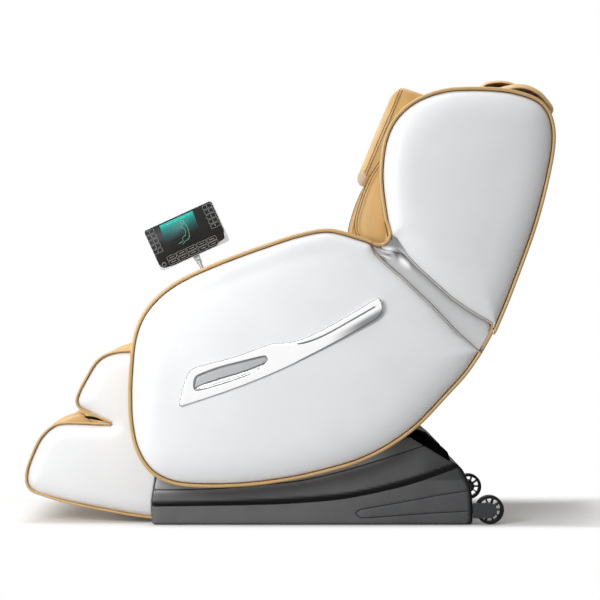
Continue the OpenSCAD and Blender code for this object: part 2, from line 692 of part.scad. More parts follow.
module back_frame() color(steel) {
  in_back() {
    both_sides() {
      block([rail_x, rail_y, 45], [rail_x + 30, rail_y + 20, 620]);
      // Arms to the shell
      block([rail_x, rail_y + 20, 560], [rail_x + 30, bridge_y, 590]);
    }
    for (z = [20, 620]) block([rail_x, -250, z], [rail_x + 30, 250, z + 25]);
  }
  both_sides() difference() {
    union() {
      plate([[recline_x - 20, recline_z], [recline_x + 20, recline_z - 10],
        [370, 470], [385, 500], [345, 520]], 246, 246 + ear_t);
      bar_y(recline_x, recline_z, 20, 246, 246 + ear_t);
    }
    bar_y(recline_x, recline_z, bore_r, 245, 247 + ear_t);
  }
  // Lever of the back motor
  both_sides() {
    union() {
      plate([[back_lever_x - 14, back_lever_z], [back_lever_x + 10, back_lever_z - 10],
        [368, 478], [338, 500]], clevis_in, clevis_in + clevis_t);
      bar_y(back_lever_x, back_lever_z, 14, clevis_in, clevis_in + clevis_t);
    }
  }
  bar_y(back_lever_x, back_lever_z, small_pin_r, -clevis_in - clevis_t, clevis_in + clevis_t);
}

shell_edge = beside(back_edge, 4);
module back_shell() color(gold) {
  wall = part_of(shell_edge, 1, 68);
  // Rear and top wall, open at the front for the pillow
  difference() {
    plate(concat(wall, reverse(beside(wall, shell_t))), -bridge_y, bridge_y);
    block([200, -pillow_half - 3, 900], [352, pillow_half + 3, 1200]);
  }
  both_sides() {
    // Step from the inner width out to the side wall, clear of the metal trim
    difference() {
      plate(concat(shell_edge, back_foot), bridge_y, back_in);
      bar_y(recline_x, recline_z, bridge_r, bridge_y - 1, back_in + 1);
    }
    plate(concat(beside(back_edge, rim_w), back_foot), back_in, side_out);
  }
}

module back_rim() {
  rim(back_edge, back_in, rim_y);
  rim(corner_edge, back_in, rim_y);
}
module back_rim_left() color(gold) mirror([0, 1, 0]) back_rim();
module back_rim_right() color(gold) back_rim();

back_face = concat(every(beside(back_edge, rim_w + 1.5), 2), back_foot);
module back_panel() loft(crown(back_face, side_out, panel_rise, back_spine[0], back_spine[1]));
module back_panel_left() color(white) mirror([0, 1, 0]) back_panel();
module back_panel_right() color(white) back_panel();

// The back cushion's cross-section at height z: flat behind, crowned in front
function back_ring(z, half, depth) =
  [for (q = oval(half, 1, 28, 0.45))
    [q.y > 0 ? back_pad_t - depth * (0.4 + 0.6 * q.y * (1 - 0.12 * pow(q.x / half, 4)))
     : back_pad_t - depth * 0.4 * (1 + q.y), q.x, z]];
module back_pad() color(gold) in_back() {
  wide = bridge_y - 4;
  // Share of the length, half width, share of the thickness
  shape = [[0, back_half - 20, 0.66], [0.012, back_half - 8, 0.86], [0.06, back_half, 1],
    [0.17, back_half, 1.02], [0.20, back_half - 2, 0.86], [0.23, back_half, 1.02],
    [0.38, back_half, 1.06], [0.41, back_half - 2, 0.88], [0.44, back_half, 1.05],
    [0.48, wide - 8, 1.03], [0.52, wide, 1], [0.60, wide, 1], [0.63, wide - 2, 0.84],
    [0.66, wide, 0.98], [0.93, wide - 2, 0.95], [0.985, wide - 12, 0.8], [1, wide - 26, 0.62]];
  loft([for (s = shape) back_ring(20 + back_pad_l * s[0], s[1], back_pad_t * s[2])]);
}

wing_t = 32;
module wing_pad() mirror([0, 1, 0]) loft(crown(wing_line, -bridge_y, wing_t, [226, 800],
  [256, 935], [[0, 0], [0, 0.4], [0.1, 0.8], [0.4, 1]]));
module wing_pad_left() color(gold) mirror([0, 1, 0]) wing_pad();
module wing_pad_right() color(gold) wing_pad();

// Head pillow: its side profile is drawn in towards both ends
pillow_line = loop([[189, 948], [196, 924], [226, 916], [268, 926], [301, 955], [318, 1020],
  [332, 1080], [345, 1135], [342, 1172], [314, 1187], [286, 1179], [268, 1148], [245, 1090],
  [214, 1014]], 2);
pillow_half = 200;
pillow_centre = [276, 1050];
// Share of the half width, share of the profile's size
pillow_rings = [[-1, 0.72], [-0.975, 0.88], [-0.9, 0.97], [-0.6, 1], [0, 1.01], [0.6, 1],
  [0.9, 0.97], [0.975, 0.88], [1, 0.72]];
module head_pillow() color(gold) loft([for (s = pillow_rings)
  [for (p = pillow_line) let (q = pillow_centre + s[1] * (p - pillow_centre))
    [q.x, s[0] * pillow_half, q.y]]]);

// Leather flaps that lie over the top of the back, as curved sheets
flap_t = 4;
big_flap = curve([[699, 1093], [710, 1116], [695, 1141], [673, 1163], [641, 1178], [606, 1180],
  [565, 1171], [528, 1163]], 3);
small_flap = curve([[500, 1163], [523, 1184], [540, 1197], [575, 1202], [602, 1199], [622, 1191],
  [640, 1181]], 3);
module flap(line, half) plate(concat(line, reverse(beside(line, -flap_t))), -half, half);
module top_flaps() color(gold) {
  flap(big_flap, 255);
  flap(small_flap, 180);
}

// ---- massage unit -----------------------------------------------------------

screw_x = rail_x + 22;
roller_x = 100;
shaft_x = 128;
roller_reach = 62;
arm_y = 56;

module lift_screw() color(steel) in_back()
  translate([screw_x, 0, 45]) cylinder(r = screw_r, h = 575);

module roller_carriage() color(grey) in_back() translate([0, 0, carriage_s]) difference() {
  union() {
    block([rail_x, -rail_y + 12, -60], [rail_x + 44, rail_y - 12, 60]);
    both_sides() {
      block([rail_x + 2, rail_y - 12, -50], [rail_x + 26, rail_y - 0.3, -20]);
      block([rail_x + 2, rail_y - 12, 20], [rail_x + 26, rail_y - 0.3, 50]);
      block([shaft_x - 14, 32, -14], [rail_x, 42, 14]);
    }
  }
  translate([screw_x, 0, -80]) cylinder(r = screw_r + pin_gap, h = 160);
  bar_y(shaft_x, 0, small_pin_r + 2 + pin_gap, -50, 50);
  // Pockets that lighten the housing
  both_sides() block([rail_x + 8, 40, -48], [rail_x + 50, rail_y - 24, 48]);
}

module roller_arms() color(steel) in_back() translate([0, 0, carriage_s]) {
  bar_y(shaft_x, 0, small_pin_r + 2, -arm_y - 8, arm_y + 8);
  both_sides() difference() {
    plate([[shaft_x + 12, -8], [shaft_x + 12, 8], [shaft_x - 4, 22], [roller_x + 8, roller_reach + 8],
      [roller_x - 6, roller_reach + 8], [roller_x - 8, roller_reach - 6], [shaft_x - 16, 0],
      [roller_x - 8, -roller_reach + 6], [roller_x - 6, -roller_reach - 8],
      [roller_x + 8, -roller_reach - 8], [shaft_x - 4, -22]], arm_y, arm_y + 8);
    for (s = [-1, 1])
      bar_y(roller_x, s * roller_reach, 5 + pin_gap, arm_y - 1, arm_y + 9);
  }
}

module rollers(s) in_back() translate([0, 0, carriage_s]) {
  bar_y(roller_x, s * roller_reach, 5, -arm_y - 9 - roller_w, arm_y + 9 + roller_w);
  both_sides() translate([roller_x, arm_y + 9, s * roller_reach]) rotate([-90, 0, 0])
    rotate_extrude() translate([0, 0]) polygon(concat([[0, 0]],
      [for (k = [0:8]) [roller_r - 7 * pow(abs(k - 4) / 4, 2), roller_w * k / 8]], [[0, roller_w]]));
}
module upper_rollers() color(dark) rollers(1);
module lower_rollers() color(dark) rollers(-1);

// ---- leg rest -----------------------------------------------------------------

guide_y = 60;
guide_x = -14;
calf_len = 190;
module leg_frame() color(steel) in_leg() {
  both_sides() {
    difference() {
      union() {
        block([-30, inner_leg - 8, -170], [2, inner_leg, 8]);
        bar_y(0, 0, 18, inner_leg - 8, inner_leg);
      }
      bar_y(0, 0, bore_r, inner_leg - 9, inner_leg + 1);
    }
    // Guide tubes of the foot section
    difference() {
      block([guide_x - 13, guide_y - 13, -182], [guide_x + 13, guide_y + 13, -40]);
      translate([guide_x, guide_y, -200]) cylinder(r = rod_r + pin_gap, h = 180);
    }
  }
  block([guide_x - 13, -inner_leg + 8, -66], [guide_x - 1 + 14, -guide_y - 13, -42]);
  block([guide_x - 13, guide_y + 13, -66], [guide_x - 1 + 14, inner_leg - 8, -42]);
  block([guide_x - 13, -guide_y + 13, -66], [guide_x - 1 + 14, guide_y - 13, -42]);
}

module leg_motor() color(dark) in_leg() {
  bar_y(0, 0, 24, -150, 120);
  bar_y(0, 0, pin_r - 1, -inner_leg + 18, -150);
  block([-13, -40, -42], [13, 40, -20]);
}

// Padded outer sides, crowned outwards
module leg_side(line, a, b) in_leg() loft(crown(line, inner_leg, leg_side_t, a, b,
  [[0, 0], [0, 0.35], [0.05, 0.75], [0.25, 1]]));
calf_skin = inset(calf_side, 7);
foot_skin = inset(foot_side, 7);
module calf_sides() color(white) both_sides() difference() {
  leg_side(calf_skin, [-110, -60], [-90, -120]);
  in_leg() bar_y(0, 0, pin_r + 4, 0, leg_half + 20);
}
module foot_sides() color(white) both_sides()
  leg_side(foot_skin, [-170, -310], [-60, -320]);

module calf_pad() color(gold) in_leg() difference() {
  plate(calf_edge, -inner_leg, inner_leg);
  both_sides() {
    translate([-118, trough_y, -300]) cylinder(r = trough_r, h = 500);
    block([-300, trough_y - trough_r, -300], [-118, trough_y + trough_r, 200]);
  }
  block([-300, -60, -300], [-150, 60, 200]);
  // Room for the frame behind the padding
  block([-28.5, -inner_leg, -200], [60, inner_leg, -38]);
  both_sides() block([-30.5, inner_leg - 8.5, -200], [60, inner_leg + 1, 60]);
  block([-27, -inner_leg, -40], [60, inner_leg, 0]);
  bar_y(0, 0, 27, -inner_leg, inner_leg);
}

foot_sole = -412;
module foot_frame() color(steel) in_leg() {
  both_sides() translate([guide_x, guide_y, -370]) cylinder(r = rod_r, h = 340);
  block([-260, -inner_leg + 10, foot_sole + 6], [20, inner_leg - 10, foot_sole + 12]);
  both_sides() block([guide_x - 12, guide_y - 12, foot_sole + 12],
    [guide_x + 12, guide_y + 12, -350]);
}

well_top = foot_sole + 34;
module foot_pad() color(gold) in_leg() difference() {
  plate(foot_edge, -inner_leg, inner_leg);
  both_sides() {
    block([-400, trough_y - trough_r + 24, well_top], [-36, trough_y + trough_r - 24, 0]);
    block([-400, trough_y - trough_r, well_top + 24], [-36, trough_y + trough_r, 0]);
    for (y = [trough_y - trough_r + 24, trough_y + trough_r - 24])
      translate([-400, y, well_top + 24]) rotate([0, 90, 0]) cylinder(r = 24, h = 364);
  }
  block([-400, -60, well_top + 90], [-150, 60, 0]);
  // Room for the sole plate and the guide rods
  block([-261, -inner_leg + 9.5, foot_sole + 5.5], [20.5, inner_leg - 9.5, foot_sole + 12.5]);
  both_sides() {
    block([guide_x - 12.5, guide_y - 12.5, foot_sole + 5], [guide_x + 12.5, guide_y + 12.5, -349.5]);
    translate([guide_x, guide_y, -360]) cylinder(r = rod_r + 1, h = 400);
  }
}

base_frame();
base_cover_left();
base_cover_right();
base_rear_cover();
base_front_cover();
floor_pads();
wheel_brackets();
wheel_left();
wheel_right();
air_pump();
control_box();
power_inlet();
power_switch();
tilt_motor();
tilt_rod();
seat_frame();
side_walls();
side_rim_left();
side_rim_right();
side_panel_left();
side_panel_right();
side_trim_left();
side_trim_right();
wedge_trim_left();
wedge_trim_right();
lower_back_cover();
seat_pad();
arm_pad_left();
arm_pad_right();
pivot_pins();
back_motor();
back_rod();
remote_post();
remote_arm();
remote_case();
remote_screen();
remote_button();
back_frame();
back_shell();
back_panel_left();
back_panel_right();
back_rim_left();
back_rim_right();
back_pad();
wing_pad_left();
wing_pad_right();
head_pillow();
top_flaps();
lift_screw();
roller_carriage();
roller_arms();
upper_rollers();
lower_rollers();
leg_frame();
leg_motor();
calf_sides();
calf_pad();
foot_frame();
foot_sides();
foot_pad();
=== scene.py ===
# %% [markdown]
# # Dressing a reclining massage chair
# The chair already exists as an exact construction: a frame of plain solids, each in its place.
# This lesson gives it its looks. Every visible piece is either kept from that construction and
# given a finish, or replaced by a fuller shape that stands for it. Sizes are written in millimetres
# and turned to metres when a mesh is made.

# %% Load the frame
import math
import bpy
import bmesh
import numpy as np
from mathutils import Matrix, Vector
from mathutils.bvhtree import BVHTree
from mathutils.geometry import delaunay_2d_cdt


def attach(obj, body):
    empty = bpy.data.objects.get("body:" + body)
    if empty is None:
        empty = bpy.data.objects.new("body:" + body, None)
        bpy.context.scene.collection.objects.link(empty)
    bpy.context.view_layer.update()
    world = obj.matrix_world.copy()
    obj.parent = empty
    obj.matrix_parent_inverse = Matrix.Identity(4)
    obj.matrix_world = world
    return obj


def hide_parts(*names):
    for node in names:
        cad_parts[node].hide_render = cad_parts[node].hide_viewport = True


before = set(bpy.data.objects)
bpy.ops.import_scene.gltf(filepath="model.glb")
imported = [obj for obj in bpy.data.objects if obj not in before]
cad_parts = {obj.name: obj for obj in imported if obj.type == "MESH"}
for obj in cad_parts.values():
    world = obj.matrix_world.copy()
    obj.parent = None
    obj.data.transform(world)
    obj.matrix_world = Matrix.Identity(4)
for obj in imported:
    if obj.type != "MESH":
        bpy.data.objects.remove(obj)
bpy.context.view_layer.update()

scene = bpy.context.scene
scene.view_settings.view_transform = "Standard"

# %% [markdown]
# ## Camera
# A picture has to be taken from the same place each time, or no two can be compared. The camera
# stands four and a half metres to the left of the chair, at the height of the armrest, and looks
# level across it. A long lens keeps the side view nearly flat.

# %% Camera
camera_data = bpy.data.cameras.new("side_camera")
camera_data.lens = 93.66
camera_data.sensor_width = 36
camera_data.clip_end = 60
camera = bpy.data.objects.new("side_camera", camera_data)
camera.location = (0.029, -4.45, 0.601)
camera.rotation_euler = (math.radians(90), 0, 0)
scene.collection.objects.link(camera)
scene.camera = camera
print("camera at", tuple(round(v, 3) for v in camera.location))

# %% [markdown]
# ## Colours and nodes
# Colours are picked as they look on a screen, so they are written as sRGB hex values. A shader
# works with light, which adds up evenly, so one function turns each value to linear. A second
# function adds any node to a tree, sets it and links it, so that a material reads like a recipe.

# %% Colour and node helpers
def linear(code):
    """An sRGB hex colour as linear red, green, blue and alpha."""
    parts = [int(code[i:i + 2], 16) / 255 for i in (1, 3, 5)]
    light = [c / 12.92 if c <= 0.04045 else ((c + 0.055) / 1.055) ** 2.4 for c in parts]
    return (*light, 1.0)


def add(tree, kind, inputs=None, **settings):
    """Adds a node, named without its family; inputs holds a value or a socket for each input."""
    family = next(f for f in ("ShaderNode", "GeometryNode", "FunctionNode", "Node")
                  if hasattr(bpy.types, f + kind))
    node = tree.nodes.new(family + kind)
    for name, value in settings.items():
        setattr(node, name, value)
    for key, value in (inputs or {}).items():
        if isinstance(value, bpy.types.NodeSocket):
            tree.links.new(value, node.inputs[key])
        else:
            node.inputs[key].default_value = value
    return node


def finish(name, **constants):
    """A new material with a Principled surface, its constants set, and its object coordinates."""
    made = bpy.data.materials.new(name)
    made.use_nodes = True
    tree = made.node_tree
    surface = tree.nodes["Principled BSDF"]
    for key, value in constants.items():
        surface.inputs[key.replace("_", " ")].default_value = value
    where = add(tree, "TexCoord").outputs["Object"]
    return made, tree, surface, where


def feed(tree, node, **sockets):
    """Links sockets to a node's inputs of those names."""
    for key, socket in sockets.items():
        tree.links.new(socket, node.inputs[key.replace("_", " ")])


def per_metre(millimetres):
    """Pattern scale for a feature of that size, because object coordinates are in metres."""
    return 1000.0 / millimetres


def noise(tree, where, millimetres, detail=2.0):
    return add(tree, "TexNoise", {"Vector": where, "Scale": per_metre(millimetres),
                                  "Detail": detail}).outputs


def ranged(tree, value, low, high, to_low=0.0, to_high=1.0, **settings):
    """Maps a value from one range to another."""
    return add(tree, "MapRange", {"Value": value, "From Min": low, "From Max": high,
                                  "To Min": to_low, "To Max": to_high}, **settings).outputs[0]


def bumped(tree, strength, distance, height, **more):
    return add(tree, "Bump", {"Strength": strength, "Distance": distance, "Height": height,
                              **more}).outputs[0]


def mixed(tree, factor, low, high):
    """A colour that goes from low to high with the factor."""
    return add(tree, "Mix", {0: factor, 6: low, 7: high}, data_type="RGBA").outputs[2]


def between(tree, factor, dark, light):
    """The same between two hex colours."""
    return mixed(tree, factor, linear(dark), linear(light))


print("white leather in linear light:", [round(c, 3) for c in linear("#f3f2f0")[:3]])

# %% [markdown]
# ## Coated leather
# Both leathers are polyurethane-coated and grained by a hot roller. The grain is a net of small
# flat cells, about two millimetres wide, and a hide pulled over foam also has slow, shallow waves.
# Cells come from a Voronoi texture, waves from noise. The bumps stay low, because a coated leather
# is smooth to the hand, and the colour varies by only a few parts in a hundred.

# %% Leather recipe
def coated_leather(name, light, dark, roughness, wave_height, sheen):
    made, tree, surface, where = finish(name, Roughness=roughness, IOR=1.48, Sheen_Weight=sheen,
                                        Sheen_Roughness=0.45, Coat_Weight=0.06, Coat_Roughness=0.28)
    warp = noise(tree, where, 14)["Color"]
    bent = add(tree, "Mix", {0: 0.002, 4: where, 5: warp}, data_type="VECTOR").outputs[1]
    cells = add(tree, "TexVoronoi", {"Vector": bent, "Scale": per_metre(2.4)}, feature="SMOOTH_F1")
    grain = bumped(tree, 0.35, 0.0002, cells.outputs["Distance"])
    pull = bumped(tree, 0.5, wave_height, noise(tree, where, 90, 3)["Fac"], Normal=grain)
    tone = ranged(tree, noise(tree, where, 160, 4)["Fac"], 0.35, 0.65)
    feed(tree, surface, Base_Color=between(tree, tone, dark, light), Normal=pull)
    return made


white_leather = coated_leather("white_coated_leather", "#f2f3f4", "#eeeff0", 0.36, 0.0012, 0.02)
gold_leather = coated_leather("gold_coated_leather", "#d9b67e", "#cda96d", 0.40, 0.0010, 0.05)
gold_border_leather = coated_leather("gold_rolled_leather", "#d4b07a", "#c6a167", 0.36, 0.0006,
                                     0.03)
print("leathers:", white_leather.name, gold_leather.name, gold_border_leather.name)

# %% [markdown]
# ## Thread
# The stitches are a waxed polyester thread a shade darker than the gold leather. A stitch is so
# small here that its twist can't be seen, so a fine wave across it is enough.

# %% Thread
thread, tree, surface, where = finish("waxed_polyester_thread", Roughness=0.55, IOR=1.5)
twist = add(tree, "TexWave", {"Vector": where, "Scale": per_metre(3), "Distortion": 1.0},
            bands_direction="DIAGONAL")
feed(tree, surface, Base_Color=between(tree, twist.outputs["Fac"], "#8f6a35", "#b48a4c"))
print("thread:", thread.name)

# %% [markdown]
# ## Metals
# The side trim is chrome-plated ABS with a silky top coat, so it is bright with soft reflections.
# The wedge plate below the back is brushed metal: its fine lines run along the plate and stretch
# each highlight. The rods and pins inside are ground steel. Two of the metals also read a value
# stored at each point of a piece, which paints highlights, reflections and shade into their colour.

# %% Satin chrome and brushed metal
def plated(name, colour, roughness, stretch, line_mm, depth):
    made, tree, surface, where = finish(name, Metallic=1.0, Roughness=roughness)
    lengthened = add(tree, "Mapping", {"Vector": where, "Scale": stretch}).outputs[0]
    lines = noise(tree, lengthened, line_mm, 3)["Fac"]
    shade = ranged(tree, noise(tree, where, 45, 4)["Fac"], 0, 1, 0.94, 1.0)
    tint = add(tree, "Mix", {0: 1.0, 6: linear(colour), 7: shade}, data_type="RGBA",
               blend_type="MULTIPLY").outputs[2]
    gloss = ranged(tree, lines, 0.3, 0.7, roughness - 0.04, roughness + 0.05)
    feed(tree, surface, Base_Color=tint, Roughness=gloss, Normal=bumped(tree, 0.25, depth, lines))
    return made


satin_chrome = plated("satin_chrome_plated_abs", "#f4f5f6", 0.16, (1, 1, 1), 6, 0.00005)
bright_trim = plated("polished_chrome_plated_abs", "#ffffff", 0.14, (1, 1, 1), 6, 0.00003)
brushed_plate = plated("brushed_metal_plate", "#c6c7c8", 0.34, (0.06, 1, 1), 1.5, 0.00005)
# The stored value picks a colour on a ramp from dark grey to white: painted reflections and
# highlights where it is high, painted shade where it is low.
for tree in (bright_trim.node_tree, brushed_plate.node_tree):
    painted_light = add(tree, "Attribute", attribute_name="painted_light")
    light_ramp = add(tree, "ValToRGB", {0: painted_light.outputs["Fac"]})
    light_ramp.color_ramp.elements.new(0.5).color = linear("#c6c7c8")
    light_ramp.color_ramp.elements[0].color = linear("#6e6f71")
    light_ramp.color_ramp.elements[-1].color = linear("#fdfdfd")
    shaded = tree.nodes["Principled BSDF"].inputs["Base Color"].links[0].from_node
    tree.links.new(light_ramp.outputs[0], shaded.inputs[6])
silver_paint = plated("silver_metallic_paint", "#a9abad", 0.34, (1, 1, 1), 2, 0.00003)
ground_steel = plated("ground_steel", "#bfc1c3", 0.24, (1, 0.05, 1), 1.2, 0.00005)
print("metals:", satin_chrome.name, brushed_plate.name, ground_steel.name)

# %% [markdown]
# ## Moulded plastics, paint and rubber
# The base covers are moulded ABS with a spark-eroded texture: a very fine sand that keeps the gloss
# soft. Powder paint on the frame is a little coarser, like orange peel. Rubber is the dullest, with
# dust in its pores. All three share one recipe with different sizes. The base cover also reads a
# value stored at each of its points, which mixes painted shade, down to black, into its grey.

# %% Plastic, paint and rubber recipe
def textured(name, light, dark, roughness, grit_mm, grit_height, ior=1.5, shine=0.5):
    made, tree, surface, where = finish(name, Roughness=roughness, IOR=ior,
                                        Specular_IOR_Level=shine)
    grit = noise(tree, where, grit_mm)["Fac"]
    cloud = noise(tree, where, 70, 5)["Fac"]
    feed(tree, surface, Base_Color=between(tree, ranged(tree, cloud, 0.35, 0.65), dark, light),
         Roughness=ranged(tree, cloud, 0.3, 0.7, roughness - 0.04, roughness + 0.04),
         Normal=bumped(tree, 0.4, grit_height, grit))
    return made


grey_abs = textured("textured_grey_abs", "#66676a", "#5e5f62", 0.40, 1.8, 0.00006)
black_abs = textured("textured_black_abs", "#161718", "#121314", 0.42, 1.8, 0.00006, shine=0.06)
rear_abs = textured("rear_black_abs", "#242526", "#1d1e1f", 0.5, 1.8, 0.00006, shine=0.03)
dull_black = textured("dull_black_abs", "#0b0b0b", "#080808", 0.6, 1.8, 0.00006, shine=0.0)
wheel_nylon = textured("moulded_black_nylon", "#1f2021", "#191a1b", 0.48, 2.2, 0.00008, shine=0.15)
bracket_abs = textured("bracket_grey_abs", "#47484a", "#414244", 0.42, 1.8, 0.00006, shine=0.2)
powder_paint = textured("powder_coated_steel", "#767b80", "#6c7176", 0.45, 2.6, 0.00010)
sheet_paint = textured("painted_sheet_steel", "#9a9da0", "#929598", 0.40, 2.0, 0.00006)
moulded_rubber = textured("moulded_rubber", "#2b2b2b", "#232323", 0.72, 2.4, 0.00012, 1.52)
roller_rubber = textured("cast_polyurethane_rubber", "#47484a", "#3d3e40", 0.50, 3.0, 0.00006, 1.5)
edge_strip = textured("pale_edge_strip", "#cfd0d1", "#c4c5c6", 0.4, 2.0, 0.00003, shine=0.3)
# Dark brown for thin pipings that paint the shade in seams and along the borders' edges.
seam_shade_leather = textured("shaded_brown_leather", "#7c5c2e", "#684a20", 0.7, 2.0, 0.00003, shine=0.06)
# Dark grey for thin pipings that paint the shade lines along the trim and the plate's edges.
shade_line_grey = textured("grey_painted_shade_line", "#77797b", "#6b6d6f", 0.5, 2.0, 0.00004)
pocket_grey = textured("satin_grey_paint", "#c3c4c6", "#b9babc", 0.38, 2.0, 0.00004)
# The base cover's grey, mixed towards black by a stored share that paints its shade.
shaded_grey_abs = textured("grey_abs_with_painted_shade", "#a0a1a3", "#98999b", 0.40, 1.8, 0.00006)
tree = shaded_grey_abs.node_tree
surface = tree.nodes["Principled BSDF"]
share = add(tree, "Attribute", attribute_name="dark_share").outputs["Fac"]
grey = surface.inputs["Base Color"].links[0].from_socket
feed(tree, surface, Base_Color=mixed(tree, share, grey, linear("#060606")),
     Specular_IOR_Level=ranged(tree, share, 0, 0.8, 0.42, 0.04))
print("plastics:", grey_abs.name, black_abs.name, "rubbers:", moulded_rubber.name)

# %% [markdown]
# ## Outlines
# The chair is drawn from its side, so most forms start as a smooth curve through a few points in
# the X-Z plane. The same curve rule is used as in the construction (Catmull-Rom), so the pieces
# land where the solids are. Two more helpers move a path sideways and measure how far points lie
# from it, which later tells a padded panel how far it may swell.

# %% Curve helpers
def spline(points, steps, closed=False):
    """A smooth curve through points, as an array with steps points between two of them."""
    p = np.array(points, float)
    n = len(p)
    spans = range(n if closed else n - 1)
    t = (np.arange(steps) / steps)[:, None]
    out = []
    for i in spans:
        a, b, c, d = (p[k % n] if closed else p[min(max(k, 0), n - 1)] for k in range(i - 1, i + 3))
        out.append(0.5 * (2 * b + (c - a) * t + (2 * a - 5 * b + 4 * c - d) * t ** 2
                          + (3 * b - a - 3 * c + d) * t ** 3))
    if not closed:
        out.append(p[-1:])
    return np.concatenate(out)


def normals_of(path, closed=False):
    """Unit vectors to the left of a path's direction."""
    if closed:
        step = np.roll(path, -1, 0) - np.roll(path, 1, 0)
    else:
        step = np.gradient(path, axis=0)
    step /= np.maximum(np.linalg.norm(step, axis=1), 1e-9)[:, None]
    return np.stack([-step[:, 1], step[:, 0]], 1)


def sideways(path, distance, closed=False):
    return path + distance * normals_of(path, closed)


def away_from(path, points, closed=True):
    """How far each point is from a path."""
    best = np.full(len(points), 1e9)
    for p, q in zip(path, np.roll(path, -1, 0) if closed else path[1:]):
        d = q - p
        t = np.clip(((points - p) @ d) / max(d @ d, 1e-12), 0, 1)
        best = np.minimum(best, np.linalg.norm(points - p - t[:, None] * d, axis=1))
    return best


def inside(outline, points):
    """Which points lie inside a closed outline."""
    x, z = points[:, 0], points[:, 1]
    result = np.zeros(len(points), bool)
    for (x0, z0), (x1, z1) in zip(outline, np.roll(outline, -1, 0)):
        if z0 != z1:
            result ^= ((z0 > z) != (z1 > z)) & (x < (x1 - x0) * (z - z0) / (z1 - z0) + x0)
    return result


def smooth(t):
    t = np.clip(t, 0, 1)
    return t * t * (3 - 2 * t)


# %% Outlines of the chair
side_edge = spline([
    (219, 757), (190, 768), (107, 789), (28, 777), (-51, 752), (-130, 724), (-209, 693),
    (-288, 656), (-345, 615), (-388, 563), (-412, 500), (-421, 420), (-424, 345), (-420, 270),
    (-404, 203), (-366, 146), (-305, 115), (-225, 107), (-130, 109), (-51, 117), (28, 130),
    (107, 149), (186, 173), (265, 212), (344, 270), (422, 352), (470, 405), (508, 460)], 6)
wedge_edge = np.array([(508, 460), (447, 514), (379, 586), (303, 658), (253, 701), (230, 724)],
                      float)
back_edge = spline([
    (548, 520), (582, 601), (622, 706), (650, 785), (673, 864), (690, 937), (701, 1000),
    (702, 1050), (691, 1093), (668, 1124), (633, 1143), (580, 1157), (527, 1162), (475, 1163),
    (422, 1160), (375, 1149), (330, 1129), (293, 1100), (267, 1066), (249, 1022), (240, 969),
    (238, 916), (243, 864), (251, 811), (262, 757)], 6)
back_foot = np.array([(288, 738), (315, 711), (341, 683), (379, 649), (428, 605), (464, 579),
                      (506, 553), (536, 537)], float)
print("side border is", round(float(np.linalg.norm(np.diff(side_edge, axis=0), axis=1).sum())),
      "mm long")

# %% [markdown]
# ## Making a mesh
# A piece is a mesh whose object stays at the origin, so that its place is in its points. The left
# side of the chair is the mirror of the right one: the sign of Y changes, and each face is turned
# round so that it still points outwards.

# %% Piece helpers
def piece(name, points_mm, faces, material, body, stands_for=(), **more):
    """A finished mesh object that rides on a body and stands for nodes."""
    mesh = bpy.data.meshes.new(name)
    mesh.from_pydata((np.asarray(points_mm, float) / 1000).tolist(), [], [list(f) for f in faces])
    return settle(name, mesh, material, body, stands_for, **more)


def settle(name, mesh, material, body, stands_for=(), slot=None, sharp=None, fill=None):
    """Shades a mesh, gives it its material and hands it to its body."""
    mesh.validate()
    mesh.shade_smooth()
    if sharp:
        mesh.set_sharp_from_angle(angle=math.radians(sharp))
    if material:
        mesh.materials.clear()
        mesh.materials.append(material)
    made = bpy.data.objects.new(name, mesh)
    scene.collection.objects.link(made)
    if stands_for:
        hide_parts(*stands_for)
    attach(made, body)
    return made


def both_sides(name, points_mm, faces, material, body, nodes=None, **more):
    """The piece on the sitter's right, at +Y, and its mirror on the left."""
    points_mm = np.asarray(points_mm, float)
    return [piece(name + side, points_mm * (1, sign, 1), [f[::sign] for f in faces], material,
                  body, [nodes + side] if nodes else (), **more)
            for side, sign in (("_right", 1), ("_left", -1))]


def marked(made, name, value_at):
    """Stores a value at each point of a piece, from its X and Z in millimetres, for a material."""
    count = len(made.data.vertices)
    places = np.empty(count * 3)
    made.data.vertices.foreach_get("co", places)
    places = places.reshape(-1, 3) * 1000
    layer = made.data.attributes.new(name, "FLOAT", "POINT")
    layer.data.foreach_set("value", np.clip(value_at(places[:, 0], places[:, 2]), 0, 1))


def outward(points, faces):
    """Faces turned so that a closed mesh points outwards."""
    mesh = bmesh.new()
    verts = [mesh.verts.new(p) for p in points]
    for f in faces:
        mesh.faces.new([verts[i] for i in f])
    bmesh.ops.recalc_face_normals(mesh, faces=mesh.faces)
    mesh.verts.index_update()
    result = [[v.index for v in f.verts] for f in mesh.faces]
    mesh.free()
    return result


# %% [markdown]
# ## Padded panels
# A padded panel is leather pulled over foam that fills an outline. It rises steeply from its seam
# and then flattens, and its height depends on nothing but the distance to the seam. So the outline
# is filled with evenly spread points, each point's distance to the seam is measured, and a height
# rule lifts it. Points close to the seam lie closer together, because the roll is there. The same
# tool makes trim plates and covers: only the height rule changes.

# %% Panel tool
def divided(path, step, closed=False):
    """The path with its long stretches divided into steps."""
    path = np.asarray(path, float)
    ends = np.roll(path, -1, 0) if closed else path[1:]
    out = []
    for a, b in zip(path, ends):
        count = max(1, math.ceil(np.linalg.norm(b - a) / step))
        out.extend(a + (b - a) * k / count for k in range(count))
    return np.array(out if closed else out + [path[-1]])


LINE_ROWS = (-2.6, -1.3, 0, 1.3, 2.6)


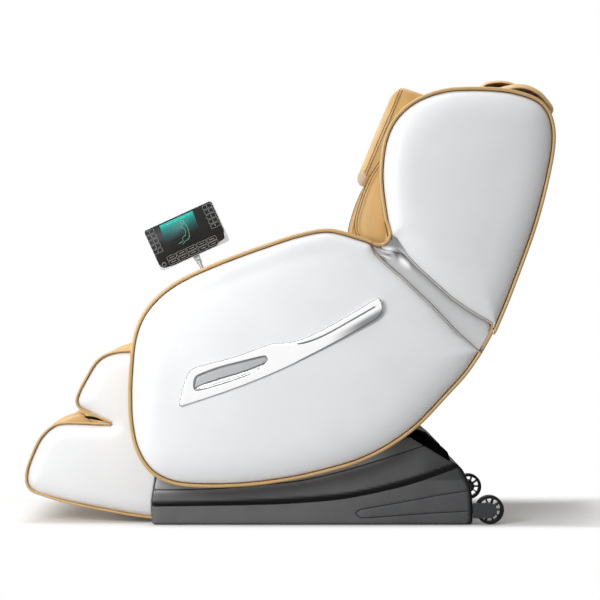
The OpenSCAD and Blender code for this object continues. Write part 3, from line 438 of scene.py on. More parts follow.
def filled(outline, spacing, rings, lines=()):
    """Points and triangles that fill an outline, with each point's distance to it."""
    points, edges = [], []

    def row(places, kept, closed):
        """Keeps a row of points, and the edges between neighbours in it."""
        index = np.cumsum(kept) - 1 + sum(len(p) for p in points)
        after = np.roll(index, -1)
        joined = kept & np.roll(kept, -1)
        if not closed:
            joined[-1] = False
        edges.extend((int(a), int(b)) for a, b in zip(index[joined], after[joined]))
        points.append(places[kept])

    row(outline, np.ones(len(outline), bool), True)
    for depth in rings:
        moved = sideways(outline, depth, True)
        row(moved, inside(outline, moved) & (away_from(outline, moved) > depth * 0.93), True)
    for line in lines:
        for offset in LINE_ROWS:
            moved = sideways(line, offset)
            row(moved, inside(outline, moved) & (away_from(outline, moved) > 0.8), False)
    low, high = outline.min(0), outline.max(0)
    rows = np.arange(low[1], high[1], spacing * 0.866)
    grid = np.array([(x + (spacing / 2 if k % 2 else 0), z) for k, z in enumerate(rows)
                     for x in np.arange(low[0], high[0], spacing)])
    grid = grid[inside(outline, grid)]
    grid = grid[away_from(outline, grid) > (rings[-1] if len(rings) else 0) + spacing * 0.6]
    for line in lines:
        grid = grid[away_from(line, grid, False) > LINE_ROWS[-1] + spacing * 0.5]
    points.append(grid)
    verts, _, faces, _, _, _ = delaunay_2d_cdt([Vector(p) for p in np.concatenate(points)],
                                               edges, [], 1, 1e-5)
    flat = np.array([tuple(v) for v in verts])
    return flat, [list(f) for f in faces], away_from(outline, flat)


def relief(outline, floor_y, height, spacing=11, rings=(1.2, 3, 6, 10, 15, 22), lines=(), step=7):
    """A closed plate with its back at floor_y and its front lifted by height(distance, x, z)."""
    outline = divided(outline, step, True)
    area = 0.5 * np.sum(outline[:, 0] * np.roll(outline[:, 1], -1)
                        - np.roll(outline[:, 0], -1) * outline[:, 1])
    if area < 0:
        outline = outline[::-1]
    flat, faces, away = filled(outline, spacing, rings, lines)
    lift = height(away, flat[:, 0], flat[:, 1])
    rim = away < 1e-3
    faces = [f for f in faces if not rim[f].all()]
    lift[rim] = 0
    front = np.stack([flat[:, 0], floor_y + lift, flat[:, 1]], 1)
    count = len(flat)
    back_index = np.where(rim, np.arange(count), np.arange(count) + count)
    back = np.stack([flat[:, 0], np.full(count, floor_y), flat[:, 1]], 1)
    points = np.concatenate([front, back])
    behind = [[int(back_index[i]) for i in f[::-1]] for f in faces]
    used = sorted({i for f in faces + behind for i in f})
    renumber = {old: new for new, old in enumerate(used)}
    shells = [[renumber[i] for i in f] for f in faces + behind]
    return points[used], outward(points[used], shells)


def swell(rise, reach, dome=0.0, dome_reach=200.0):
    """Height rule of a padded panel: a quick roll near the seam, then a slow dome."""
    def height(away, x, z):
        t = np.clip(away / reach, 0, 1)
        return rise * (1 - (1 - t) ** 2.5) ** 0.62 + dome * smooth(away / dome_reach)
    return height


def bevel(slope, top):
    """Height rule of a flat plate with sloping edges."""
    return lambda away, x, z: np.minimum(away * slope, top)


def both_reliefs(name, outline, floor_y, height, material, body, nodes=None, slot=None, fill=None,
                 **grid):
    """A relief and its mirror on the other side of the chair."""
    points, faces = relief(outline, floor_y, height, **grid)
    return both_sides(name, points, faces, material, body, nodes, slot=slot, fill=fill)


# %% [markdown]
# ## The white side panels
# The large panels are the face of the chair. Each fills the space inside its gold border and swells
# by about three centimetres. The lower one carries the silver trim on its flattest part.

# %% White side panels
BAND, SEAM, STRIP = 8.8, 1.5, 4.2
SIDE_OUT, FOOT_Y = 336.0, 304.0

side_face = np.concatenate([sideways(side_edge, BAND + SEAM), sideways(wedge_edge, STRIP)[1:]])
back_face = np.concatenate([sideways(back_edge, BAND + SEAM)[:-2], [(275.5, 769), (284, 764)],
                            sideways(back_foot, STRIP)[1:]])
full = swell(28.5, 95, 3.5, 190)


def leaning(away, x, z):
    """The side panel's swell, thinner towards the armrest, so that its upper half faces up."""
    return full(away, x, z) - 13 * smooth((z - 400) / 330) * smooth(away / 60)


for made in (
        *both_reliefs("white_side_panel", side_face, SIDE_OUT, leaning, white_leather, "shell",
                      "side_panel", "white_leather", 0.95),
        *both_reliefs("white_back_panel", back_face, SIDE_OUT, swell(27, 90, 5.0, 200),
                      white_leather, "backrest", "back_panel", "white_leather", 0.95)):
    print(made.name, "has", len(made.data.vertices), "points")

# %% [markdown]
# ## Sweeps with Geometry Nodes
# A border, a piping and a row of stitches all follow a path, so Geometry Nodes make them. One tree
# sweeps a rounded band and a bead along a curve, a second only a round piping, and a third sets
# stitches along it. The sizes are named inputs. The result is turned into a plain mesh at once and
# the helper curve is deleted.

# %% Trees that follow a path
def new_tree(name, sizes):
    """A Geometry Nodes tree with a geometry in and out, named sizes and a material input."""
    tree = bpy.data.node_groups.new(name, "GeometryNodeTree")
    face = tree.interface
    face.new_socket("Geometry", in_out="INPUT", socket_type="NodeSocketGeometry")
    for title, default in sizes.items():
        kind = "NodeSocketInt" if isinstance(default, int) else "NodeSocketFloat"
        face.new_socket(title, in_out="INPUT", socket_type=kind).default_value = default
    face.new_socket("Finish", in_out="INPUT", socket_type="NodeSocketMaterial")
    face.new_socket("Geometry", in_out="OUTPUT", socket_type="NodeSocketGeometry")
    given = add(tree, "GroupInput").outputs
    return tree, given


def close_tree(tree, given, geometry):
    """Ends a tree in smooth shading, Realize Instances and Set Material."""
    whole = add(tree, "RealizeInstances", {"Geometry": geometry})
    shaded = add(tree, "SetShadeSmooth", {"Geometry": whole.outputs[0]})
    painted = add(tree, "SetMaterial", {"Geometry": shaded.outputs[0],
                                                    "Material": given["Finish"]})
    add(tree, "GroupOutput", {"Geometry": painted.outputs[0]})
    return tree


BORDER_SIZES = ("Band Depth", "Band Width", "Corner", "Bead", "Bead Out")
border_tree, given = new_tree("rolled_border", dict.fromkeys(BORDER_SIZES, 0.004))
steady = add(border_tree, "SetCurveNormal", {"Curve": given["Geometry"], "Normal": (0, 1, 0)},
             mode="FREE").outputs[0]
band = add(border_tree, "CurvePrimitiveQuadrilateral",
           {"Width": given["Band Width"], "Height": given["Band Depth"]}).outputs[0]
rounded_band = add(border_tree, "FilletCurve", {
    "Curve": band, "Radius": given["Corner"], "Limit Radius": True}, mode="POLY")
rounded_band.inputs["Count"].default_value = 3
bead = add(border_tree, "CurvePrimitiveCircle", {"Resolution": 12, "Radius": given["Bead"]})
bead_place = add(border_tree, "CombineXYZ", {"X": given["Bead Out"]}).outputs[0]
moved_bead = add(border_tree, "Transform", {"Geometry": bead.outputs[0], "Translation": bead_place})
swept_band, swept_bead = [add(border_tree, "CurveToMesh", {
    "Curve": steady, "Profile Curve": profile.outputs[0], "Fill Caps": True}).outputs[0]
    for profile in (rounded_band, moved_bead)]
both = add(border_tree, "JoinGeometry", {0: swept_band})
border_tree.links.new(swept_bead, both.inputs[0])
close_tree(border_tree, given, both.outputs[0])

piping_tree, given = new_tree("piping", {"Radius": 0.0045})
cord_ring = add(piping_tree, "CurvePrimitiveCircle", {"Resolution": 12, "Radius": given["Radius"]})
swept = add(piping_tree, "CurveToMesh", {"Curve": given["Geometry"], "Fill Caps": True,
                                         "Profile Curve": cord_ring.outputs[0]})
close_tree(piping_tree, given, swept.outputs[0])

stitch_tree, given = new_tree("stitches", {"Pitch": 0.007, "Length": 0.0048, "Thickness": 0.0011})
spaced = add(stitch_tree, "ResampleCurve", {"Curve": given["Geometry"], "Length": given["Pitch"]},
             mode="LENGTH")
along = add(stitch_tree, "InputTangent")
turned = add(stitch_tree, "AlignRotationToVector", {"Vector": along.outputs[0]}, axis="X")
grain_of_rice = add(stitch_tree, "MeshUVSphere", {"Segments": 6, "Rings": 4, "Radius": 0.5})
stitch_size = add(stitch_tree, "CombineXYZ", {"X": given["Length"], "Y": given["Thickness"],
                                              "Z": given["Thickness"]})
on_points = add(stitch_tree, "InstanceOnPoints", {
    "Points": spaced.outputs[0], "Instance": grain_of_rice.outputs[0],
    "Rotation": turned.outputs[0], "Scale": stitch_size.outputs[0]})
close_tree(stitch_tree, given, on_points.outputs[0])
print("trees:", [t.name for t in (border_tree, piping_tree, stitch_tree)])


# %% Growing a tree along paths
def evaluated(helper):
    """An object with its modifiers worked out."""
    return helper.evaluated_get(bpy.context.evaluated_depsgraph_get())


def grown(name, tree, paths_mm, material, body, closed=False, sizes=None, **more):
    """Runs a tree on curves through the paths and keeps the result as a plain mesh."""
    data = bpy.data.curves.new(name, "CURVE")
    data.dimensions = "3D"
    for path in paths_mm:
        line = data.splines.new("POLY")
        line.points.add(len(path) - 1)
        for point, place in zip(line.points, np.asarray(path) / 1000):
            point.co = (*place, 1)
        line.use_cyclic_u = closed
    helper = bpy.data.objects.new(name + "_helper", data)
    scene.collection.objects.link(helper)
    modifier = helper.modifiers.new("grow", "NODES")
    modifier.node_group = tree
    values = {"Finish": material, **(sizes or {})}
    for item in tree.interface.items_tree:
        if item.in_out == "INPUT" and item.name in values:
            modifier[item.identifier] = values[item.name]
    bpy.context.view_layer.update()
    mesh = bpy.data.meshes.new_from_object(evaluated(helper))
    bpy.data.objects.remove(helper)
    mesh.name = name
    return settle(name, mesh, None, body, **more)


def in_plane(path, y):
    """A side-view path as points in space at that Y."""
    return np.stack([path[:, 0], np.full(len(path), float(y)), path[:, 1]], 1)


def grown_both(name, tree, path, y, sizes, material, body, nodes=None, **more):
    """The same sweep on both sides of the chair."""
    for side, sign in (("_right", 1), ("_left", -1)):
        turned = {key: size * (sign if key == "Bead Out" else 1) for key, size in sizes.items()}
        grown(name + side, tree, [in_plane(path, sign * y)], material, body, sizes=turned,
              stands_for=[nodes + side] if nodes else (), **more)


def border(name, path, y, sizes_mm, material, body, nodes=None, slot="gold_leather"):
    """A border on both sides: its depth, width, corner, bead radius and how far out the bead is."""
    sizes = {key: size / 1000 for key, size in zip(BORDER_SIZES, sizes_mm)}
    grown_both(name, border_tree, path, y, sizes, material, body, nodes, slot=slot)


def piped(name, path, y, radius, material, body, slot="gold_leather", closed=False):
    """A thin piping, seam or line of painted shade on both sides."""
    grown_both(name, piping_tree, path, y, {"Radius": radius / 1000}, material, body, slot=slot,
               closed=closed)


# %% [markdown]
# ## The gold borders
# A strip of gold leather wraps round the edge of each side wall. Seen from the side it is a rounded
# band nine millimetres wide, and a seam parts it from the white panel. Thin dark brown pipings in
# that seam and along the band's outer edge are painted shade. At the foot of the shoulder wing the
# border of the back turns forward in a small loop until it meets the border of the armrest, and a
# short low strip closes the rear end of the metal plate.

# %% Gold borders
RIM_OUT = 342.0
corner_line = spline([(255.7, 811), (262.6, 795), (266.7, 777), (262.5, 760), (252, 749.5),
                      (239.5, 746), (228, 748), (220, 751)], 5)
corner_from = 12
side_middle = sideways(side_edge, BAND / 2)
back_middle = sideways(np.concatenate([[(541.5, 509.5)], back_edge]), BAND / 2)
back_middle = np.concatenate([back_middle[:-corner_from], corner_line])
tail_line = spline([(505.5, 446.5), (517.5, 467), (528.5, 486), (538, 503.5), (544.5, 517),
                    (545.5, 527)], 4)
border("gold_side_border", side_middle, (RIM_OUT + 292) / 2, (BAND, 50, 3, BAND / 2, 23.3),
       gold_border_leather, "shell", "side_rim")
border("gold_back_border", back_middle, (RIM_OUT + 307) / 2, (BAND, 35, 3, BAND / 2, 15.8),
       gold_border_leather, "backrest", "back_rim")
border("gold_plate_end", sideways(tail_line, BAND / 2), 297, (BAND, 10, 3, BAND / 2, 0.8),
       gold_border_leather, "shell")
# Painted shade: dark brown pipings in the seam beside the panel and along the border's outer edge.
for title, edge, body in (("side", side_edge, "shell"), ("back", back_edge, "backrest")):
    piped(title + "_border_seam", sideways(edge, BAND + SEAM / 2), 338.5, 1.2, seam_shade_leather, body)
    piped(title + "_border_edge_shade", sideways(edge, 0.9), 337.5, 1.3, seam_shade_leather, body)
print("borders done, back border path:", len(back_middle), "points")

# %% [markdown]
# ## The wedge plate
# Between the lower and the upper white panel lies a bare metal plate. It is pressed from sheet. Its
# long part is flat, and its front end is drawn round the foot of the back, which leaves soft bulges
# that catch the light. Bright patches on the bulges are painted highlights, and a few dull patches
# beside them are painted shade. A narrow bright strip edges each white panel beside it.

# %% Wedge plates
PLATE_IN = 292.0
recline = np.array((292.0, 483.0))
sweep = np.radians(np.arange(90, 17, -3))
wedge_outline = np.concatenate([
    np.array([(216, 742), (222, 750), (243, 747), (257, 753), (280, 734), (288, 741)], float),
    recline + 257.5 * np.stack([np.cos(sweep), np.sin(sweep)], 1),
    np.array([(537, 545), (541, 528), (533, 507), (522, 485), (510, 466), (504, 457)], float),
    wedge_edge[1:] - (2.0, 2.0)])
# Ellipses: x, z, width, height, tilt and amount. A positive amount raises a bulge and paints a
# highlight on it; a negative one paints a dull patch of shade.
BULGES_AND_GLINTS = ((263, 733, 20, 5, -6, 0.5), (256, 717, 16, 6.5, -16, 0.42), (312, 701, 19, 12, -45, 0.5),
          (287, 730, 7, 20, 0, -0.42), (240, 702, 10, 16, 35, -0.12), (335, 690, 9, 15, 40, -0.12))


def bulge_and_glint_at(x, z):
    """How much painted highlight, or painted shade where the amount is negative, each point gets
    from the soft tilted ellipses.
    """
    total = np.zeros(len(x))
    for cx, cz, wide, tall, tilt, amount in BULGES_AND_GLINTS:
        turn = math.radians(tilt)
        u = (x - cx) * math.cos(turn) + (z - cz) * math.sin(turn)
        v = (z - cz) * math.cos(turn) - (x - cx) * math.sin(turn)
        total += amount * np.exp(-((u / wide) ** 2 + (v / tall) ** 2) ** 1.5)
    return total


def painted_light_at(x, z):
    """Half is the satin of the sheet; painted highlights lie on the drawn bulges and painted shade
    in the dull patches.
    """
    return 0.5 + bulge_and_glint_at(x, z)


def pressed(away, x, z):
    """Height of the pressed plate: nearly flat, with soft bulges where it is drawn at its nose."""
    return (3.0 + 4.0 * np.maximum(bulge_and_glint_at(x, z), 0)) * (1 - np.exp(-(away + 0.001) / 0.8))


for made in both_reliefs("pressed_wedge_plate", wedge_outline, PLATE_IN, pressed, brushed_plate,
                         "shell", "wedge_trim", "satin_chrome", spacing=5, rings=(0.8, 2.2),
                         step=5):
    marked(made, "painted_light", painted_light_at)
corner_outline = np.array([(263, 778), (276, 770), (286, 764), (302, 741), (320, 715), (315, 711),
                           (297, 724), (281, 727), (262, 730), (246, 735), (240, 744),
                           (257, 750), (262, 760)], float)
for made in both_reliefs("drawn_plate_corner", corner_outline, SIDE_OUT, bevel(1.5, 2.0),
                         brushed_plate, "backrest", slot="satin_chrome", spacing=4,
                         rings=(0.8, 1.6), step=4):
    # The corner's colour is painted: dull shade over most of it, lighter towards the rear, and a
    # painted highlight low at its front.
    marked(made, "painted_light", lambda x, z: 0.12 + 0.3 * smooth((x - 285) / 30) + 0.85 * np.exp(
        -((x - 261) / 17) ** 2 - ((z - 735) / 6) ** 2))
foot_steps, strip_out = divided(back_foot, 20), 340
border("plate_lower_strip", sideways(wedge_edge, STRIP / 2), 317, (STRIP - 1, 46, 1, 0.8, 22.2),
       edge_strip, "shell", slot="satin_chrome")
border("plate_upper_strip", sideways(foot_steps, STRIP / 2 - 0.8), (FOOT_Y + strip_out) / 2,
       (STRIP - 0.4, strip_out - FOOT_Y, 1, 0.8, 17.2), edge_strip, "backrest",
       slot="satin_chrome")
# Thin dark grey pipings along both edges of the plate are painted shade lines.
piped("plate_lower_line", sideways(wedge_edge, -0.6), 334, 0.9, shade_line_grey, "shell",
      "grey_plastic")
piped("plate_upper_line", sideways(foot_steps, -0.6), 337, 0.9, shade_line_grey, "backrest",
      "grey_plastic")
print("wedge plate outline:", len(wedge_outline), "points")

# %% [markdown]
# ## The silver side trim
# The trim is one plated moulding. Its front half is a flat frame round a grey hand recess, with a
# lens-shaped fin lying in it; its rear half is a bar with a dark line along its upper third. The
# height rule adds these up: a rounded edge, minus the recess, minus the channel under that line.
# Thin dark grey pipings round the trim, the recess and the top of the fin, and in the channel, are
# painted shade lines along its edges.

# %% Silver side trim
TRIM_Y, TRIM_DEEP = 367.0, 13.0
trim_line = spline([
    (-285.5, 330), (-277.5, 365), (-267, 400), (-255, 418), (-234, 427), (-146, 450), (-73, 476),
    (-40, 487), (-2, 489), (40, 500), (91, 524), (165, 565), (228, 603), (240, 598), (244, 585),
    (234, 556), (165, 514), (91, 474), (18, 437), (-55, 404), (-128, 375), (-201, 349),
    (-272, 326), (-283, 324)], 3, True)
pocket_line = spline([
    (-249, 374), (-246, 397), (-232, 408), (-180, 427), (-115, 443.5), (-67, 455), (-58.5, 451),
    (-58.5, 438), (-88.5, 414), (-147, 391), (-212, 371), (-241, 365)], 3, True)
fin_line = spline([(-245, 368), (-229, 379.5), (-180, 396), (-115, 415.5), (-61, 436),
                   (-72, 424.5), (-92, 412), (-147, 392), (-212, 372)], 3, True)
ridge_line = spline([(2, 484), (40, 488), (91, 507), (165, 548), (238, 590)], 8)


def trim_height(away, x, z):
    """Plated moulding: a rolled edge, a recess for the hand and a ridge along the bar."""
    where = np.stack([x, z], 1)
    rolled = 9.0 * (1 - (1 - np.clip(away / 6.0, 0, 1)) ** 2.4) ** 0.6
    from_pocket = away_from(pocket_line, where) * np.where(inside(pocket_line, where), 1, -1)
    recess = 6.5 * smooth((from_pocket + 1.5) / 3.5)
    drop = z - np.interp(x, ridge_line[:, 0], ridge_line[:, 1])
    bar = smooth((x - 6) / 34)
    step = 3.4 * smooth((2.2 - np.abs(drop - 1.2)) / 1.6) * bar
    lower = smooth((-drop - 8) / 26) * 3.4 * bar * (drop < 0)
    return np.maximum(rolled - recess - step - lower, 0.0) + TRIM_DEEP


def trim_painted_light(x, z):
    """Painted highlight all over; painted shade greys the facet below the ridge towards its rear
    end and darkens the rim.
    """
    drop = z - np.interp(x, ridge_line[:, 0], ridge_line[:, 1])
    facet = smooth((x - 90) / 110) * smooth((-drop - 7) / 15)
    rim = np.exp(-(away_from(trim_line, np.stack([x, z], 1)) / 2.2) ** 2) * smooth((x - 20) / 60)
    return 1 - 0.85 * facet - 0.3 * rim * (1 - facet)


trim_grid = {"spacing": 4, "rings": (0.6, 1.6, 3.0, 5.0), "step": 3,
             "lines": [divided(pocket_line, 3), divided(ridge_line, 3)]}
for made in both_reliefs("silver_side_trim", trim_line, TRIM_Y - TRIM_DEEP, trim_height,
                         bright_trim, "shell", "side_trim", "satin_chrome", **trim_grid):
    marked(made, "painted_light", trim_painted_light)
both_reliefs("grey_hand_recess", sideways(pocket_line, 0.5, True), TRIM_Y, bevel(2, 3.4),
             pocket_grey, "shell", slot="grey_plastic", spacing=8, rings=(1.5,))
both_reliefs("silver_recess_fin", fin_line, TRIM_Y + 1, lambda away, x, z: 8.2 * (
    1 - (1 - np.clip(away / 9, 0, 1)) ** 2) ** 0.7, satin_chrome, "shell", slot="satin_chrome",
             spacing=4, rings=(0.6, 1.6, 3), step=3)
fin_top, ridge_middle = slice(1, 14), slice(5, -2)
# Painted shade lines: dark grey pipings round the trim, along the fin's top, round the recess and
# in the channel below the ridge.
for title, path, out, thick, closed in (
        ("trim_shade_outline", sideways(trim_line, -1.2, True), 2.4, 1.5, True),
        ("fin_outline", fin_line[fin_top] + (0, 0.6), 4.6, 1.1, False),
        ("recess_outline", pocket_line, 8.2, 1.0, True),
        ("ridge_shade_line", ridge_line[ridge_middle] + (0, 1.2), 7.4, 1.9, False)):
    piped(title, path, TRIM_Y + out, thick, shade_line_grey, "shell", "grey_plastic", closed)
print("side trim:", len(made.data.vertices), "points")

# %% [markdown]
# ## The base covers
# Each base cover is a long grey moulding. A thin line crosses its upper part, a broad band is drawn
# inwards below it and ends at a crisp step, and a narrow open loop lies near the rear foot. The
# covers are one wall thick, so the height rule only works on their outer face. The rounded housing
# behind the seat is black, and a thin black plate closes its side.

# %% Base covers
COVER_OUT, COVER_T = 285.0, 8.0
base_tail = spline([(321, 238), (370, 208), (426, 174), (455, 157), (471, 134), (486, 96),
                    (490, 40), (490, 10), (484, 1.5)], 5)
base_nose = spline([(-361, 1.5), (-366, 8), (-367, 30), (-367, 54), (-363, 84), (-354, 126)], 4)
base_line = np.concatenate([base_nose, base_tail])[::-1]
waist_top = spline([(-380, 71), (-212, 74), (-52, 82), (108, 95), (188, 106), (268, 127),
                    (330, 148), (402, 172), (470, 200)], 6)
waist_low = spline([(-380, 48), (-92, 53), (28, 58), (148, 69), (268, 93), (348, 115),
                    (446, 150), (500, 172)], 6)
fine_line = spline([(-380, 93.5), (-212, 97), (-92, 107), (28, 119), (151, 147), (273, 184),
                    (368, 215), (420, 232)], 6)
foot_loop = spline([(480, 91.5), (396, 78.8), (334, 66.8), (273, 55.8), (200, 43), (186, 38),
                    (179, 31), (186, 23), (200, 19), (273, 23.8), (365, 30.8), (480, 36.6)], 5)


def drawn_in(x, z):
    """How far the surface has sunk into the band, from 0 above it to 1 at its lower edge."""
    top = np.interp(x, waist_top[:, 0], waist_top[:, 1]) + 10
    low = np.interp(x, waist_low[:, 0], waist_low[:, 1])
    share = np.clip((top - z) / np.maximum(top - low, 1), 0, 1)
    return share * (z > low + 0.3)


def on_line(line, x, z, width):
    """1 on an open line, falling to 0 beside it over that width."""
    return np.exp(-(away_from(line, np.stack([x, z], 1), False) / width) ** 2)


def cover_height(away, x, z):
    """Wall of the cover with its line, drawn-in band and loop."""
    wall = COVER_T * (1 - (1 - np.clip(away / 9.0, 0, 1)) ** 2.2) ** 0.55
    ends = smooth((x + 367) / 22) * smooth((492 - x) / 60)
    lines = 3.4 * (on_line(fine_line, x, z, 1.3) + on_line(foot_loop, x, z, 1.3))
    band = 5.8 * drawn_in(x, z) ** 1.8
    return np.maximum(wall - lines - band, 0.0) * (0.45 + 0.55 * ends)


def dark_share(x, z):
    """How far the grey is mixed to black: painted shade in the lines, deep in the band, along the
    nose, the bottom edge and the facets; it also goes black round its rear end.
    """
    fine, loop = on_line(fine_line, x, z, 1.6), on_line(foot_loop, x, z, 1.5)
    band = smooth((drawn_in(x, z) - 0.25) / 0.45)
    rear = 1 - smooth((away_from(base_tail, np.stack([x, z], 1), False) - 2) / 30)
    rear = rear * smooth((x - 412) / 30)
    # Painted shade along the front end and along the bottom edge.
    nose = 0.8 * (1 - smooth((x + 367) / 6))
    foot = 0.8 * (1 - smooth((z - 1) / 6))
    # Painted shade on the facets: darker below the fine line, and both facets darker towards the
    # rear.
    line = np.interp(x, fine_line[:, 0], fine_line[:, 1])
    under = smooth((line - z) / 12)
    low = 0.57 + 0.10 * smooth((x - 60) / 330) + 0.12 * smooth((x - 330) / 70) * (z > 120)
    high = 0.60 * smooth((x - 190) / 120) + 0.19 * smooth((x - 330) / 70)
    painted_facet_shade = under * low + (1 - under) * high
    return 0.97 * np.maximum.reduce([fine, loop, band, rear, nose, foot, painted_facet_shade])


for made in both_reliefs("grey_base_cover", base_line, COVER_OUT - COVER_T, cover_height,
                         shaded_grey_abs, "base", "base_cover", "grey_plastic", spacing=7,
                         rings=(1.0, 2.4, 4.5, 7.5), lines=[divided(line, 7) for line in (
                             waist_low, fine_line, foot_loop)]):
    marked(made, "dark_share", dark_share)
housing_line = np.array([(296, 232), (318, 252), (339, 255), (411, 207), (424, 194), (431, 171),
                         (420, 168), (362, 202), (316, 233)], float)
both_reliefs("black_housing_side", housing_line, 278.5, bevel(1, 3.5), dull_black, "base",
             slot="black_plastic", spacing=8, rings=(1, 2.5), step=6)
print("base cover:", len(made.data.vertices), "points")

# %% [markdown]
# ## Soft cushions
# A cushion can't be drawn with a rule alone: foam presses the leather out where it is free and the
# seams hold it back. So each one starts as a copy of its plain solid, is remeshed into even
# squares, rounded a little, and then blown up by a short cloth simulation with inner pressure and
# no gravity. How far a point may move is capped, so the cushion stays in its own space. Seams are
# pressed in afterwards, because remeshing would lose them.

# %% Cushion tool
CLOTH_FRAMES, ABOVE_LEATHER = 16, 0.0004


def soft_copy(name, source, voxel, rounding, pressure, cap, shrink=0.0):
    """A solid as an even mesh, rounded and blown up; returns the mesh."""
    shape = bmesh.new()
    shape.from_mesh(source)
    bmesh.ops.remove_doubles(shape, verts=shape.verts, dist=2e-5)
    bmesh.ops.recalc_face_normals(shape, faces=shape.faces)
    mesh = bpy.data.meshes.new(name)
    shape.to_mesh(mesh)
    shape.free()
    helper = bpy.data.objects.new(name + "_helper", mesh)
    scene.collection.objects.link(helper)
    remesh = helper.modifiers.new("even", "REMESH")
    remesh.mode = "VOXEL"
    remesh.voxel_size = voxel / 1000
    settle_down = helper.modifiers.new("round", "SMOOTH")
    settle_down.factor = 0.5
    settle_down.iterations = rounding
    if shrink:
        tuck = helper.modifiers.new("tuck", "DISPLACE")
        tuck.strength = -shrink / 1000
        tuck.mid_level = 0
    even = bpy.data.meshes.new_from_object(evaluated(helper))
    helper.modifiers.clear()
    helper.data = even
    rest = np.array([v.co[:] for v in even.vertices])
    if pressure:
        cloth = helper.modifiers.new("foam", "CLOTH")
        for key, value in {"quality": 4, "mass": 0.3, "tension_stiffness": 12,
                           "compression_stiffness": 12, "bending_stiffness": 0.6,
                           "use_pressure": True, "uniform_pressure_force": pressure}.items():
            setattr(cloth.settings, key, value)
        cloth.settings.effector_weights.gravity = 0
        cloth.collision_settings.use_collision = False
        for step in range(1, CLOTH_FRAMES + 1):
            scene.frame_set(step)
        blown = evaluated(helper).to_mesh()
        moved = np.array([v.co[:] for v in blown.vertices]) - rest
        reach = np.linalg.norm(moved, axis=1)
        moved *= np.minimum(1, cap / 1000 / np.maximum(reach, 1e-9))[:, None]
        even.vertices.foreach_set("co", (rest + moved).ravel())
        scene.frame_set(1)
    bpy.data.objects.remove(helper)
    even.update()
    return even


def arrays(mesh):
    """Points in millimetres and normals of a mesh."""
    points, normals = np.empty((2, len(mesh.vertices) * 3))
    mesh.vertices.foreach_get("co", points)
    mesh.vertices.foreach_get("normal", normals)
    return points.reshape(-1, 3) * 1000, normals.reshape(-1, 3)


def pressed_in(mesh, depth_of):
    """Moves each point inwards by depth_of(points, normals), in millimetres."""
    points, normals = arrays(mesh)
    points = points - normals * depth_of(points, normals)[:, None]
    mesh.vertices.foreach_set("co", (points / 1000).ravel())
    mesh.update()


def seam(distance, width=5.0, depth=5.0):
    """A sewn channel: a narrow valley with softly drawn shoulders."""
    return depth * (0.55 * np.exp(-(distance / width) ** 2)
                    + 0.45 * np.exp(-(distance / (3.2 * width)) ** 2))


def laid(mesh, start, path_mm, direction):
    """Points of a path dropped on the mesh along a direction, a little above its leather."""
    tree = BVHTree.FromPolygons([v.co[:] for v in mesh.vertices],
                                [p.vertices[:] for p in mesh.polygons])
    way = Vector(direction).normalized()
    out = []
    for p in path_mm:
        hit = tree.ray_cast(Vector(p) / 1000 - way * start, way)
        if hit[0]:
            out.append(np.array(hit[0] - way * ABOVE_LEATHER) * 1000)
    return np.array(out)


# %% [markdown]
# ## The seat cushion
# The seat is divided by two long seams into a middle and two raised edges, and the middle is held
# down by two cross seams. Each seam is topstitched on both sides.

# %% Seat cushion
BESIDE, STITCH_STEP = (-7, 7), 6.0
seat_mesh = soft_copy("gold_seat_cushion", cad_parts["seat_pad"].data, 7, 6, 5, 12, 2)
SEAT_LONG, SEAT_CROSS, ABOVE_SEAT = 138.0, (-133.0, 9.0), 470


def cushion_seams(across, along, half, places, free_end):
    """Depth of two long seams and the cross seams between them."""
    rows = [seam(np.abs(np.abs(across) - half), 4.5, 7.0) * free_end]
    rows += [seam(along - place, 4.5, 6.0) * smooth((half - np.abs(across)) / 6)
             for place in places]
    return np.maximum.reduce(rows)


def seat_seams(points, normals):
    x, y = points[:, 0], points[:, 1]
    return cushion_seams(y, x, SEAT_LONG, SEAT_CROSS, smooth((x + 286) / 20)) * smooth(
        (normals[:, 2] - 0.1) / 0.5)


pressed_in(seat_mesh, seat_seams)
settle("gold_seat_cushion", seat_mesh, gold_leather, "shell", ["seat_pad"], "gold_leather",
       fill=0.85)
seat_rows = [[(x, sign * SEAT_LONG + offset, ABOVE_SEAT) for x in np.arange(-270, 172, STITCH_STEP)]
             for sign in (-1, 1) for offset in BESIDE]
seat_rows += [[(place + offset, y, ABOVE_SEAT)
               for y in np.arange(12 - SEAT_LONG, SEAT_LONG - 11, STITCH_STEP)]
              for place in SEAT_CROSS for offset in BESIDE]
grown("seat_stitches", stitch_tree, [laid(seat_mesh, 0.2, row, (0, 0, -1)) for row in seat_rows],
      thread, "shell", slot="gold_leather")
print("seat cushion:", len(seat_mesh.polygons), "faces,", len(seat_rows), "rows of stitches")

# %% [markdown]
# ## The back cushion
# The back cushion leans with the back. Its middle strip is quilted into six soft bars, because the
# rollers behind it press against them, and plain bolsters stand on both sides.

# %% Back cushion
LEAN = math.radians(13.2)
BACK_ORIGIN = np.array((190.0, 0.0, 470.0))
ALONG_BACK = np.array((math.sin(LEAN), 0.0, math.cos(LEAN)))
INTO_BACK = np.array((math.cos(LEAN), 0.0, -math.sin(LEAN)))


def on_back(depth, y, height):
    """A point in the back's own frame: depth behind its face, height along it."""
    return BACK_ORIGIN + INTO_BACK * depth + ALONG_BACK * height + np.array((0.0, y, 0.0))


BACK_LONG, BACK_CROSS, BACK_DEEP = 128.0, np.arange(80.0, 431.0, 70.0), 60.5
back_mesh = soft_copy("gold_back_cushion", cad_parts["back_pad"].data, 8, 5, 5, 12, 2)
points, normals = arrays(back_mesh)
behind = np.maximum((points - BACK_ORIGIN) @ INTO_BACK - BACK_DEEP, 0)
back_mesh.vertices.foreach_set("co", ((points - behind[:, None] * INTO_BACK) / 1000).ravel())


